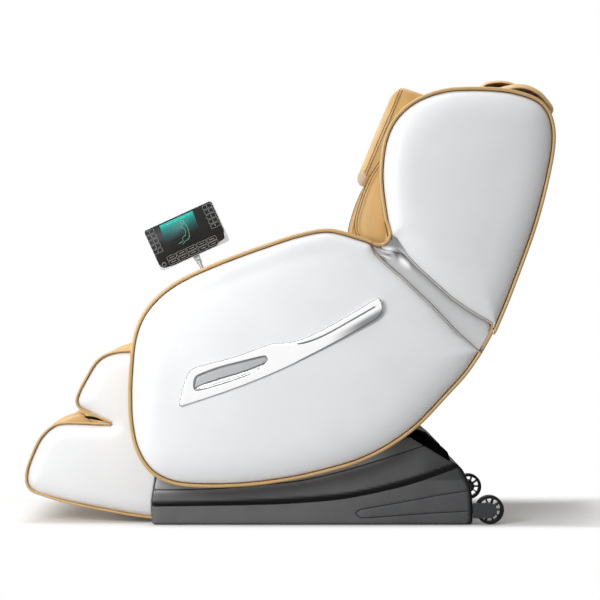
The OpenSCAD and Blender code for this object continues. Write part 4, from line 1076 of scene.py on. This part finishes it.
def back_seams(points, normals):
    height = (points - BACK_ORIGIN) @ ALONG_BACK
    return cushion_seams(points[:, 1], height, BACK_LONG, BACK_CROSS,
                         smooth((560 - height) / 30)) * smooth((-(normals @ INTO_BACK) - 0.1) / 0.5)


pressed_in(back_mesh, back_seams)
settle("gold_back_cushion", back_mesh, gold_leather, "backrest", ["back_pad"], "gold_leather",
       fill=0.85)
back_rows = [[on_back(0, sign * BACK_LONG + offset, h) for h in np.arange(36, 560, STITCH_STEP)]
             for sign in (-1, 1) for offset in BESIDE]
back_rows += [[on_back(0, y, place + offset)
               for y in np.arange(12 - BACK_LONG, BACK_LONG - 11, STITCH_STEP)]
              for place in BACK_CROSS for offset in BESIDE]
grown("back_stitches", stitch_tree, [laid(back_mesh, 0.2, row, INTO_BACK) for row in back_rows],
      thread, "backrest", slot="gold_leather")
print("back cushion:", len(back_mesh.polygons), "faces")

# %% [markdown]
# ## Head pillow
# The pillow is a firm box of foam that hangs in front of the top of the back, with a thin lip that
# lies on the crown. A double seam with stitches runs round its sides and its top, a finger's width
# behind its front face, where the front panel is joined to the gusset.

# %% Head pillow
PILLOW_HALF = 200.0
FRONT_LOW, FRONT_TOP = np.array((197.3, 957.0)), np.array((278.0, 1153.0))
pillow_line = divided([
    FRONT_TOP, (283, 1163), (290, 1172), (300, 1178.5), (311, 1181), (340, 1172), (368, 1162),
    (371, 1157), (362, 1152), (352, 1150), (346, 1138), (332, 1080), (318, 1020), (305, 978),
    (294, 962), (268, 949), (233, 940), (217, 937), (206, 940), (199.5, 949), FRONT_LOW], 6, True)
pillow_middle = np.array((280.0, 1050.0))


def loft_ends(outline, middle, half, stations):
    """A closed loft along Y; each station is a share of the half width and of the outline."""
    points = [(*p, along * half) for along, share in stations
              for p in middle + (outline - middle) * share]
    n = len(outline)
    faces = [[k * n + i, k * n + (i + 1) % n, (k + 1) * n + (i + 1) % n, (k + 1) * n + i]
             for k in range(len(stations) - 1) for i in range(n)]
    for end in (0, (len(stations) - 1) * n):
        points.append((*middle, points[end][2]))
        faces += [[end + i, end + (i + 1) % n, len(points) - 1] for i in range(n)]
    points = np.array(points)[:, (0, 2, 1)]
    return points, outward(points, faces)


ends = [(-1, 0.95), (-0.988, 0.98), (-0.96, 1)]
stations = ends + [(k / 10, 1) for k in range(-9, 10)] + [(-a, b) for a, b in ends[::-1]]
block_points, block_faces = loft_ends(pillow_line, pillow_middle, PILLOW_HALF, stations)
pillow_block = bpy.data.meshes.new("pillow_block")
pillow_block.from_pydata((block_points / 1000).tolist(), [], block_faces)
pillow_mesh = soft_copy("gold_head_pillow", pillow_block, 4.5, 3, 2, 2)
settle("gold_head_pillow", pillow_mesh, gold_leather, "backrest", ["head_pillow"], "gold_leather",
       fill=0.9)
front_way = (FRONT_TOP - FRONT_LOW) / np.linalg.norm(FRONT_TOP - FRONT_LOW)
behind_way = np.array((front_way[1], -front_way[0]))


def round_pillow(offset):
    """Paths round the pillow at that distance behind its front: both sides and the top."""
    paths = []
    for sign in (-1, 1):
        line = [FRONT_LOW + front_way * s + behind_way * (offset - 2.5 * (1 - smooth(s / 240)))
                for s in np.arange(-14, 243, 4.0)]
        paths.append(laid(pillow_mesh, 0.3, [(p[0], sign * 200, p[1]) for p in line],
                          (0, -sign, 0)))
    top = FRONT_TOP + behind_way * offset
    paths.append(laid(pillow_mesh, 0.2, [(top[0], y, top[1]) for y in np.arange(-190, 191, 5.0)],
                      (-front_way[0], 0, -front_way[1])))
    return paths


# The two seams are thin dark brown pipings, painted shade in the sewn lines.
grown("pillow_seams", piping_tree, round_pillow(13.5) + round_pillow(20.5), seam_shade_leather,
      "backrest", slot="gold_leather", sizes={"Radius": 0.0008})
grown("pillow_stitches", stitch_tree, round_pillow(17), thread, "backrest", slot="gold_leather",
      sizes={"Pitch": 0.006, "Length": 0.004, "Thickness": 0.001})
print("pillow:", len(pillow_mesh.polygons), "faces")

# %% [markdown]
# ## Shoulder wings and arm cushions
# The wings and the arm cushions are boards of foam with one soft face. A rolled edge goes round
# each, then comes a seam, and inside it the leather lies flat. That is again a height rule on an
# outline, used on the face that looks outwards for the wings and inwards for the arm cushions.

# %% Wings and arm cushions
WING_IN, WING_OUT = 254.0, 282.0
wing_line = spline([
    (265, 751), (240, 744), (208, 752), (185, 775), (180, 808), (190, 851), (209, 905), (232, 948),
    (262, 984), (290, 985), (288, 900), (273, 800)], 5, True)


def rolled_board(roll, height, groove, inner):
    """A rolled edge of that width, a seam, and a flat or domed field inside it."""
    crest = roll * 0.62

    def rule(away, x, z):
        edge = height * np.sqrt(np.clip(1 - ((away - crest) / crest) ** 2, 0, 1))
        field = inner * smooth((away - roll) / (roll * 2.0)) + height - groove
        share = smooth((away - crest) / (roll * 0.4))
        return np.where(away < crest, edge, np.maximum(field, 0) * share + edge * (1 - share))
    return rule


def board(name, outline, y_in, y_out, rule_out, rule_in, material, body, nodes, fill):
    """A closed board with a height rule on each of its two faces."""
    middle = (y_in + y_out) / 2
    rings = (1, 2.5, 5, 8, 12, 16, 20)
    front, front_faces = relief(outline, middle, rule_out, 7, rings)
    back, back_faces = relief(outline, -middle, rule_in, 7, rings)
    points = np.concatenate([front, back * (1, -1, 1)])
    faces = front_faces + [[i + len(front) for i in f[::-1]] for f in back_faces]
    mesh = bmesh.new()
    verts = [mesh.verts.new(p) for p in points]
    for f in faces:
        if np.abs(points[f, 1] - middle).max() > 1e-6:
            mesh.faces.new([verts[i] for i in f])
    bmesh.ops.remove_doubles(mesh, verts=mesh.verts, dist=1e-3)
    loose = [v for v in mesh.verts if not v.link_faces]
    bmesh.ops.delete(mesh, geom=loose, context="VERTS")
    bmesh.ops.recalc_face_normals(mesh, faces=mesh.faces)
    mesh.verts.index_update()
    points = np.array([v.co[:] for v in mesh.verts])
    faces = [[v.index for v in f.verts] for f in mesh.faces]
    mesh.free()
    return both_sides(name, points, faces, material, body, nodes, slot="gold_leather", fill=fill)


wing_outer = rolled_board(9, 13, 3.0, 2.0)
board("gold_shoulder_wing", wing_line, WING_IN, WING_OUT, wing_outer, wing_outer,
      gold_leather, "backrest", "wing_pad", 0.8)
piped("wing_piping", sideways(wing_line, 1.2, True), 279.5, 2.8, gold_border_leather, "backrest",
      closed=True)
# The seam is a thin dark brown piping, painted shade in the sewn line.
piped("wing_seam", sideways(wing_line, 5.0, True), 281.4, 1.0, seam_shade_leather, "backrest",
      closed=True)
arm_line = spline([
    (-296, 402), (-312, 470), (-312, 540), (-292, 600), (-215, 655), (-130, 690), (-40, 722),
    (50, 742), (120, 738), (180, 718), (226, 680), (238, 600), (238, 500), (228, 402), (100, 398),
    (-100, 398)], 5, True)
board("gold_arm_cushion", arm_line, 251, 291, bevel(2.5, 20.0), swell(17, 40, 2.5, 150),
      gold_leather, "shell", "arm_pad", 0.85)
print("wings and arm cushions done")

# %% [markdown]
# ## The leg rest
# The leg rest hangs from its pivot and leans back by nearly twelve degrees, so its outlines are
# written in its own frame and turned into place. Calf and foot section each have a white padded
# side, a gold piping round it and a thick gold cushion with two troughs between the sides. A thin
# black plate paints the shade in the narrow gap where the two sections meet.

# %% Leg rest outlines
LEG_ORIGIN, LEG_LEAN = np.array((-350.0, 425.0)), math.radians(11.7)
INNER_LEG = 226.0


def on_leg(points):
    """Side-view points of the leg rest's own frame, turned into place."""
    p = np.asarray(points, float)
    cosine, sine = math.cos(LEG_LEAN), math.sin(LEG_LEAN)
    return LEG_ORIGIN + np.stack([p[:, 0] * cosine + p[:, 1] * sine,
                                  p[:, 1] * cosine - p[:, 0] * sine], 1)


calf_front = [(-173, -27), (-188, -68), (-201, -112), (-203, -140), (-190, -159), (-160, -168)]
calf_rear = np.array([(-97, -180), (-34, -188), (12, -190)], float)
calf_upper = spline([(12, 20), (0, 36), (-30, 33), (-79, 26), (-118, 16), (-150, 0)]
                    + calf_front, 5)
foot_front = [(-281, -265), (-291, -309), (-296, -345), (-293, -376), (-280, -398), (-255, -408),
              (-189, -412)]
foot_upper = spline([(-46, -187), (-97, -181), (-140, -187), (-178, -193), (-215, -200),
                     (-243, -211), (-265, -234)] + foot_front, 5)
calf_side = on_leg(np.concatenate([calf_upper, calf_rear]))
print("leg rest reaches forward to", round(float(on_leg(foot_upper)[:, 0].min())), "mm")

# %% Leg rest sides and pipings
PIPED, LEG_TUCK = 4.6, 6
base_side = np.array([(-369.5, 14), (-369.5, 60), (-361, 112), (-357, 140), (-366, 205)], float)
calf_inset = np.where(np.arange(len(calf_side)) < len(calf_upper), PIPED, -5.5)
foot_skin = np.concatenate([on_leg(foot_upper), on_leg([(-107, -413), (0, -411)]), base_side,
                            on_leg([(14, -195)])])
toe_end = len(foot_upper)
foot_inset = np.full(len(foot_skin), PIPED)
foot_inset[:4] = -4.0                                    # tucked under the calf section
foot_inset[4:7] = (-1.5, 1.8, 3.6)                       # on its way to the piped edge
foot_inset[toe_end - LEG_TUCK:toe_end + 2] = 1.6         # round the sole
foot_inset[toe_end + 2:] = 0.0                           # along the base
calf_route = calf_side[:len(calf_upper) + 1]
foot_route = np.concatenate([on_leg(foot_upper[5:-5]), on_leg([
    (-189, -415), (-107, -416), (0, -414)]), [(-371, 11)]])
for title, outline, inset, body, free, route in (
        ("calf", calf_side, calf_inset, "legrest", slice(1, len(calf_upper) + 1), calf_route),
        ("foot", foot_skin, foot_inset, "footrest", slice(5, toe_end + 3), foot_route)):
    skin = sideways(outline, inset[:, None], True)
    hem = skin[free]

    def leg_swell(away, x, z):
        """Swells from the piped edge only; the edge where two sections meet stays full."""
        piped_away = away_from(hem, np.stack([x, z], 1), False)
        return swell(20, 46, 1.8, 110)(piped_away, x, z) * (1 - np.exp(-(away + 0.001) / 0.9))

    points, faces = relief(skin, INNER_LEG, leg_swell)
    pair = np.concatenate([points, points * (1, -1, 1)])
    pair_faces = faces + [[i + len(points) for i in f[::-1]] for f in faces]
    piece("white_" + title + "_sides", pair, pair_faces, white_leather, body, [title + "_sides"],
          slot="white_leather", fill=0.9)
    border("gold_" + title + "_piping", sideways(route, 2.6), INNER_LEG + 6, (5.6, 16, 2, 3, 7),
           gold_border_leather, body)
# A thin black plate that paints the shade in the gap between calf and foot.
gap_outline = spline([(-580, 283.5), (-562, 286.2), (-540, 286.6), (-520, 282), (-500, 272),
                      (-520, 275.5), (-540, 279), (-562, 281.6)], 4, True)
both_reliefs("leg_gap_shade", gap_outline, INNER_LEG - 2, bevel(1, 4.0), black_abs, "legrest",
             slot="black_plastic", spacing=5, rings=(0.8, 2), step=4)
print("leg rest sides done")

# %% Leg rest cushions
for title, body in (("calf", "legrest"), ("foot", "footrest")):
    name = "gold_" + title + "_cushion"
    mesh = soft_copy(name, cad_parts[title + "_pad"].data, 7, 4, 3, 5, 1)
    settle(name, mesh, gold_leather, body, [title + "_pad"], "gold_leather", fill=0.8)
    print(title, "cushion:", len(mesh.polygons), "faces")

# %% [markdown]
# ## Leather flaps on the top
# Two loose leather flaps cover the joint between the pillow and the back shell. They are sheets
# four millimetres thick that follow the crown. Their side edges are turned down, which leaves a
# dark hollow below them.

# %% Top flaps
big_flap = spline([(699, 1093), (710, 1116), (695, 1141), (673, 1163), (641, 1178), (606, 1180),
                   (565, 1171), (528, 1163)], 6)
small_flap = spline([(640, 1179), (622, 1188), (602, 1196), (575, 1199), (540, 1194), (523, 1181),
                     (500, 1160)], 6)
FLAP_T, FLAP_CORNER, TURNED_FROM = 4.0, 26.0, 0.92


def run_along(line):
    """Distance of each point of a path from its start."""
    return np.concatenate([[0], np.cumsum(np.linalg.norm(np.diff(line, axis=0), axis=1))])


def two_layers(rows, columns):
    """Faces of a closed sheet: a lower layer of points, an upper one and the edge between."""
    count = rows * columns
    faces = []
    for k in range(rows - 1):
        for a in range(k * columns, k * columns + columns - 1):
            quad = [a, a + 1, a + columns + 1, a + columns]
            faces += [quad, [i + count for i in quad[::-1]]]
    ring = [*range(columns), *range(2 * columns - 1, count, columns),
            *range(count - 2, count - columns - 1, -1), *range(count - 2 * columns, 0, -columns)]
    return faces + [[b, a, a + count, b + count] for a, b in zip(ring, ring[1:] + ring[:1])]


def leather_flap(line, half, curl):
    """A closed sheet along a side-view line, with rounded corners and side edges turned down."""
    across = np.linspace(-1, 1, 33)
    reach = run_along(line)
    left = normals_of(line)
    points = []
    for side in (0.3, FLAP_T):
        for k in range(len(line)):
            end = min(reach[k], reach[-1] - reach[k])
            share = np.clip(end / FLAP_CORNER, 0, 1)
            narrow = 22 * (1 - np.sqrt(np.clip(1 - (1 - share) ** 2, 0, 1)))
            for u in across:
                y = u * (half - narrow)
                droop = 2.4 * abs(u) ** 5 + 0.7 * math.sin(y / 37.0 + k * 0.4) * (1 - u * u)
                droop -= 2 * curl * float(smooth((abs(u) - TURNED_FROM) / 0.08))
                thick = side if abs(u) < 0.999 else min(side, FLAP_T * 0.8)
                place = line[k] - left[k] * (FLAP_T - thick + droop * 0.5)
                points.append((place[0], y, place[1]))
    return np.array(points), outward(points, two_layers(len(line), len(across))), float(reach[-1])


for title, line, half, curl in (("large", big_flap, 255, 13.0), ("small", small_flap, 180, 6.0)):
    flap_points, flap_faces, length = leather_flap(line, half, curl)
    flap = piece(title + "_top_flap", flap_points, flap_faces, gold_leather, "backrest",
                 ["top_flaps"], slot="gold_leather")

# %% [markdown]
# ## Upholstery behind
# The rear of the back is covered in the same gold leather, stretched over thin foam. The cover is
# sewn from three lengths, so two stitched seams run down it.

# %% Rear cover
REAR_HALF, SEAM_SHARE, REAR_LIFT = 270.0, 0.42, 7.0
cover_part, seam_part = slice(8, 66), slice(11, 63)
rear_line = sideways(back_edge, 4.0)[cover_part]
reach = run_along(rear_line)
left = normals_of(rear_line)
across = np.linspace(-1, 1, 61)
points = []
for outer in (0, 1):
    for k in range(len(rear_line)):
        ends = float(smooth(min(reach[k], reach[-1] - reach[k]) / 26))
        for u in across:
            y = u * REAR_HALF
            crown = REAR_LIFT * ends * (1 - abs(u) ** 6) ** 0.7
            crown -= 2.6 * math.exp(-((abs(y) - REAR_HALF * SEAM_SHARE) / 4.0) ** 2) * ends
            place = rear_line[k] - left[k] * (crown + 0.6 if outer else -1.0)
            points.append((place[0], y, place[1]))
piece("gold_rear_cover", points, outward(points, two_layers(len(rear_line), len(across))),
      gold_leather, "backrest", slot="gold_leather", fill=0.9)
seam_line = sideways(back_edge, 4.0 - REAR_LIFT - 0.4)[seam_part]
seam_paths = [in_plane(seam_line, sign * REAR_HALF * SEAM_SHARE + offset)
              for sign in (-1, 1) for offset in BESIDE]
grown("rear_stitches", stitch_tree, seam_paths, thread, "backrest", slot="gold_leather")
print("rear cover done, rows of stitches:", len(seam_paths))

# %% [markdown]
# ## Materials of the parts that stay
# Frames, drives, covers and wheels keep their exact solids. Each gets the finish that such a part
# has: powder-coated tube, painted sheet steel, textured ABS, ground steel or moulded rubber.

# %% Finishes of the kept solids
finishes = {
    powder_paint: ["base_frame", "seat_frame", "back_frame", "leg_frame", "foot_frame"],
    sheet_paint: ["control_box"],
    grey_abs: ["base_front_cover", "roller_carriage"],
    bracket_abs: ["wheel_brackets"],
    rear_abs: ["base_rear_cover"],
    black_abs: ["air_pump", "power_inlet", "power_switch", "tilt_motor",
                "back_motor", "leg_motor"],
    wheel_nylon: ["wheel_left", "wheel_right"],
    moulded_rubber: ["floor_pads"],
    roller_rubber: ["upper_rollers", "lower_rollers"],
    ground_steel: ["tilt_rod", "back_rod", "pivot_pins", "lift_screw", "roller_arms", "remote_arm",
                   "remote_post"],
    gold_leather: ["side_walls", "lower_back_cover", "back_shell"],
}
finishes[silver_paint] = ["remote_case"]
finishes[black_abs].append("remote_button")
for finish_of, names in finishes.items():
    for name in names:
        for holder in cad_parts[name].material_slots:
            holder.material = finish_of
print("kept solids:", sum(len(v) for v in finishes.values()))

# %% [markdown]
# ## Tablet remote
# The remote is a flat tablet: a silver shell with a black glass on its front. The glass is cut back
# round the two lower corners, so the shell shows there. Keys are printed outlines with a short mark
# in each, and the display is lit from behind. Everything is drawn in the tablet's own frame, where
# the first axis runs along its width and the second along its height.

# %% Remote frame and finishes
REMOTE = np.array((-314.0, 272.0, 795.0))
REMOTE_TURN = math.radians(24.5)
FACE, WIDER, TALLER = 10.0, 1.042, 1.018


def on_remote(across, up, out=0.0):
    """A point on the tablet's face, out in front of it by that much, in millimetres."""
    cosine, sine = math.cos(REMOTE_TURN), math.sin(REMOTE_TURN)
    across, up = across * WIDER, up * TALLER
    return REMOTE + (across * cosine - up * sine, -FACE - out, across * sine + up * cosine)


def toned(name, millimetres, dark, light, sockets=("Base_Color",), detail=2.0, **constants):
    """A smooth finish whose colour wanders between two tones."""
    made, tree, surface, where = finish(name, **constants)
    tone = between(tree, noise(tree, where, millimetres, detail)["Fac"], dark, light)
    feed(tree, surface, **dict.fromkeys(sockets, tone))
    return made


GLOWS = ("Base_Color", "Emission_Color")
glass = toned("black_cover_glass", 30, "#28292a", "#303132", detail=3.0, Roughness=0.32, IOR=1.45,
              Specular_IOR_Level=0.12)
ink = toned("printed_grey_ink", 2, "#8d9093", "#a8abae", GLOWS, Roughness=0.5,
            Emission_Strength=0.05)
lit_line = toned("lit_display_line", 12, "#4fae9d", "#8fd0c4", GLOWS, Roughness=0.3,
                 Emission_Strength=0.35)
display, tree, surface, where = finish("backlit_display", Roughness=0.3, IOR=1.5,
                                       Specular_IOR_Level=0.12, Emission_Strength=0.4)
turned_back = add(tree, "Mapping", {"Vector": where, "Rotation": (0, -REMOTE_TURN, 0),
                                    "Location": tuple(REMOTE / 1000)}, vector_type="TEXTURE")
height = add(tree, "SeparateXYZ", {0: turned_back.outputs[0]}).outputs["Z"]
ramp = add(tree, "ValToRGB", {0: ranged(tree, height, 0.004, 0.060)})
stops = ramp.color_ramp.elements
stops[0].color, stops[-1].color = linear("#2b2d2e"), linear("#25a898")
for place, code in ((0.35, "#234a4a"), (0.7, "#23706b"), (0.86, "#1f8f86")):
    stops.new(place).color = linear(code)
feed(tree, surface, **dict.fromkeys(GLOWS, ramp.outputs[0]))
print("display:", display.name)
# %% Remote glass and shell
def slab(name, outline, back, front, material, soft_edge=1.0, stands_for=()):
    """A flat slab on the tablet's face between two distances in front of it."""
    outline = np.array(outline, float)
    inner = sideways(outline, soft_edge, True)
    rings = [(outline, back), (outline, front - soft_edge * 0.8), (inner, front)]
    n = len(outline)
    points = [on_remote(p[0], p[1], out) for ring, out in rings for p in ring]
    faces = [[k * n + i, k * n + (i + 1) % n, (k + 1) * n + (i + 1) % n, (k + 1) * n + i]
             for k in range(2) for i in range(n)]
    faces += [list(range(n))[::-1], list(range(2 * n, 3 * n))]
    return piece(name, points, outward(points, faces), material, "remote", stands_for,
                 slot="screen_gloss", sharp=40)


def rounded(corners, steps=5):
    """An outline with each corner (x, z, radius) rounded off, anticlockwise."""
    out = []
    count = len(corners)
    for i, (x, z, r) in enumerate(corners):
        here = np.array((x, z), float)
        before = np.array(corners[i - 1][:2], float) - here
        after = np.array(corners[(i + 1) % count][:2], float) - here
        start = here + before / np.linalg.norm(before) * r
        end = here + after / np.linalg.norm(after) * r
        for t in np.linspace(0, 1, steps):
            out.append((1 - t) ** 2 * start + 2 * t * (1 - t) * here + t * t * end)
    return np.array(out)


glass_line = rounded([(-107, 64.5, 8), (-107, -52, 12), (-94, -61.5, 8), (-72, -61.5, 3),
                      (-70, -64, 2), (70, -64, 2), (75, -57, 4), (98, -54, 6), (101, -38, 5),
                      (106, -32, 4), (106, 64.5, 8)])
slab("remote_black_glass", glass_line, -1.5, 1.4, glass, 0.9, ["remote_screen"])
display_line = rounded([(-59, 60, 1), (-63, 5, 1), (43, 5, 1), (46, 60, 1)], 3)
slab("remote_display", display_line, 1.3, 1.7, display, 0.15)
print("glass outline:", len(glass_line), "points")

# %% Remote keys, marks and picture
def on_glass(line, out=1.5):
    """A drawn line in front of the tablet's face."""
    return np.array([on_remote(across, up, out) for across, up in line])


def frame_of(across, up, width, tall, corner=1.6):
    """A closed rounded rectangle on the glass."""
    w, h = width / 2, tall / 2
    return on_glass(rounded([(across - w, up + h, corner), (across - w, up - h, corner),
                             (across + w, up - h, corner), (across + w, up + h, corner)], 3))


def ellipse(across, up, half_width, half_tall, count):
    return [(across + half_width * math.cos(t), up + half_tall * math.sin(t))
            for t in np.linspace(0, 2 * math.pi, count, endpoint=False)]


SIDE_KEYS = [(across, 54.0 - 15.2 * k) for across in (-93, 89) for k in range(5)]
LOW_KEYS = [(-64 + 31.6 * k, up) for k in range(5) for up in (-40, -54)]
BUTTON, LIT_OUT = (-93.0, -50.5), 1.8
key_frames = [frame_of(*key, 27, 12) for key in SIDE_KEYS]
key_frames += [frame_of(*key, 28.5, 12) for key in LOW_KEYS]
marks = [on_glass([(across, up - 3.4), (across, up + 3.4)]) for across, up in SIDE_KEYS]
marks += [on_glass([(across - 8, up), (across + 8, up)]) for across, up in LOW_KEYS]
seated_line = spline([(2, 35), (-3, 31), (0, 25), (4, 20), (2, 10), (-1, 3), (-12, -1), (-16, -11),
                      (-30, -12)], 4)
chair_line = spline([(10, 38), (13, 22), (10, 4), (4, -10), (-10, -14), (-20, -19)], 4)
header = [[(a, 53), (b, 53)] for a, b in ((-54, -50), (-40, -20), (-16, -4), (2, 20), (26, 36))]
for title, paths, colour, thick, closed in (
        ("key_frames", key_frames, ink, 0.5, True),
        ("key_marks", marks, ink, 0.8, False),
        ("seated_figure", [on_glass(line, LIT_OUT) for line in (seated_line, chair_line)],
         lit_line, 0.5, False),
        ("figure_head", [on_glass(ellipse(5, 42, 5, 5.5, 16), LIT_OUT)], lit_line, 0.5, True),
        ("display_header", [on_glass(line, LIT_OUT) for line in header], lit_line, 0.8, False)):
    grown("remote_" + title, piping_tree, paths, colour, "remote", closed=closed,
          slot="screen_gloss", sizes={"Radius": thick / 1000})
grown("remote_button_ring", piping_tree, [on_glass(ellipse(*BUTTON, 5.6, 5.6, 28))], ink,
      "remote_button", closed=True, slot="satin_chrome", sizes={"Radius": 0.0008})
print("keys:", len(key_frames), "marks:", len(marks))

# %% [markdown]
# ## Floor and light
# The chair stands on a plain white floor in soft studio light. The floor is lit almost to white,
# and far from the chair it turns to plain white for the camera, so no horizon shows. It also turns
# plain white just in front of the chair and behind it, which paints light over the shadow there, so
# only the shadow close to the chair, between those two strips, stays. A large lamp stands in front
# of the chair on the camera's side, a wide soft one hangs above, and a weak one shines level from
# in front of the feet.

# %% Floor
def highest(tree, *values):
    """The largest of several values."""
    result = values[0]
    for value in values[1:]:
        result = add(tree, "Math", {0: result, 1: value}, operation="MAXIMUM").outputs[0]
    return result


def looked_at(tree):
    """The light path, and 1 for rays that show a surface: seen, mirrored or let through."""
    path = add(tree, "LightPath").outputs
    return path, highest(tree, *(path["Is " + kind + " Ray"]
                                 for kind in ("Camera", "Glossy", "Transmission")))


FLOOR_GLOW, FADE = 0.04, "SMOOTHSTEP"
floor_material, tree, surface, where = finish("matt_white_floor", Roughness=0.6)
path, looked = looked_at(tree)
paint = between(tree, noise(tree, where, 400)["Fac"], "#f6f6f6", "#f8f8f8")
feed(tree, surface, Base_Color=mixed(tree, path["Is Diffuse Ray"], paint, linear("#a8a8a8")))
moved = add(tree, "VectorMath", {0: where, 1: (0.05, 0.1, 0)}, operation="SUBTRACT").outputs[0]
distance = add(tree, "VectorMath", {0: moved}, operation="LENGTH").outputs["Value"]
far = ranged(tree, distance, 0.72, 1.05, FLOOR_GLOW, interpolation_type=FADE)
y_of = add(tree, "SeparateXYZ", {0: where}).outputs["Y"]
# Plain white for the camera in front of the chair and behind it: painted light over the shadow
# there.
near = ranged(tree, y_of, -0.26, -0.36, interpolation_type=FADE)
behind = ranged(tree, y_of, 0.12, 0.36, interpolation_type=FADE)
share = add(tree, "Math", {0: highest(tree, near, behind, far), 1: looked}, operation="MULTIPLY")
plain_white = add(tree, "Emission", {"Color": (1, 1, 1, 1), "Strength": 1.0})
blend = add(tree, "MixShader", {0: share.outputs[0], 1: surface.outputs[0],
                                2: plain_white.outputs[0]})
tree.links.new(blend.outputs[0], tree.nodes["Material Output"].inputs[0])
floor_mesh = bpy.data.meshes.new("studio_floor")
floor_mesh.from_pydata([(-9, -9, 0), (9, -9, 0), (9, 9, 0), (-9, 9, 0)], [], [[0, 1, 2, 3]])
floor_mesh.materials.append(floor_material)
studio_floor = bpy.data.objects.new("studio_floor", floor_mesh)
scene.collection.objects.link(studio_floor)
print("floor:", studio_floor.name)

# %% World
AMBIENT = 0.25
world = bpy.data.worlds.new("white_studio")
scene.world = world
world.use_nodes = True
tree = world.node_tree
backing = tree.nodes["Background"]
backing.inputs["Color"].default_value = (1, 1, 1, 1)
path, looked = looked_at(tree)
feed(tree, backing, Strength=ranged(tree, looked, 0, 1, AMBIENT, 1.0))
print("ambient strength:", AMBIENT)


# %% Lamps
def lamp(name, place, target, size, watts):
    """A square area lamp that looks at a point."""
    data = bpy.data.lights.new(name, "AREA")
    data.shape = "SQUARE"
    data.size = size
    data.energy = watts
    made = bpy.data.objects.new(name, data)
    made.location = place
    made.rotation_euler = (Vector(target) - Vector(place)).to_track_quat("-Z", "Y").to_euler()
    scene.collection.objects.link(made)
    return made


lamp("front_key", (-1.3, -1.95, 1.25), (-0.1, -0.3, 0.5), 1.0, 36)
lamp("overhead_soft", (-0.2, -0.1, 3.2), (-0.1, 0, 0), 2.4, 54)
lamp("low_left", (-3.4, -0.2, 0.9), (0, 0, 0.3), 0.6, 28)
print("lamps: 3")
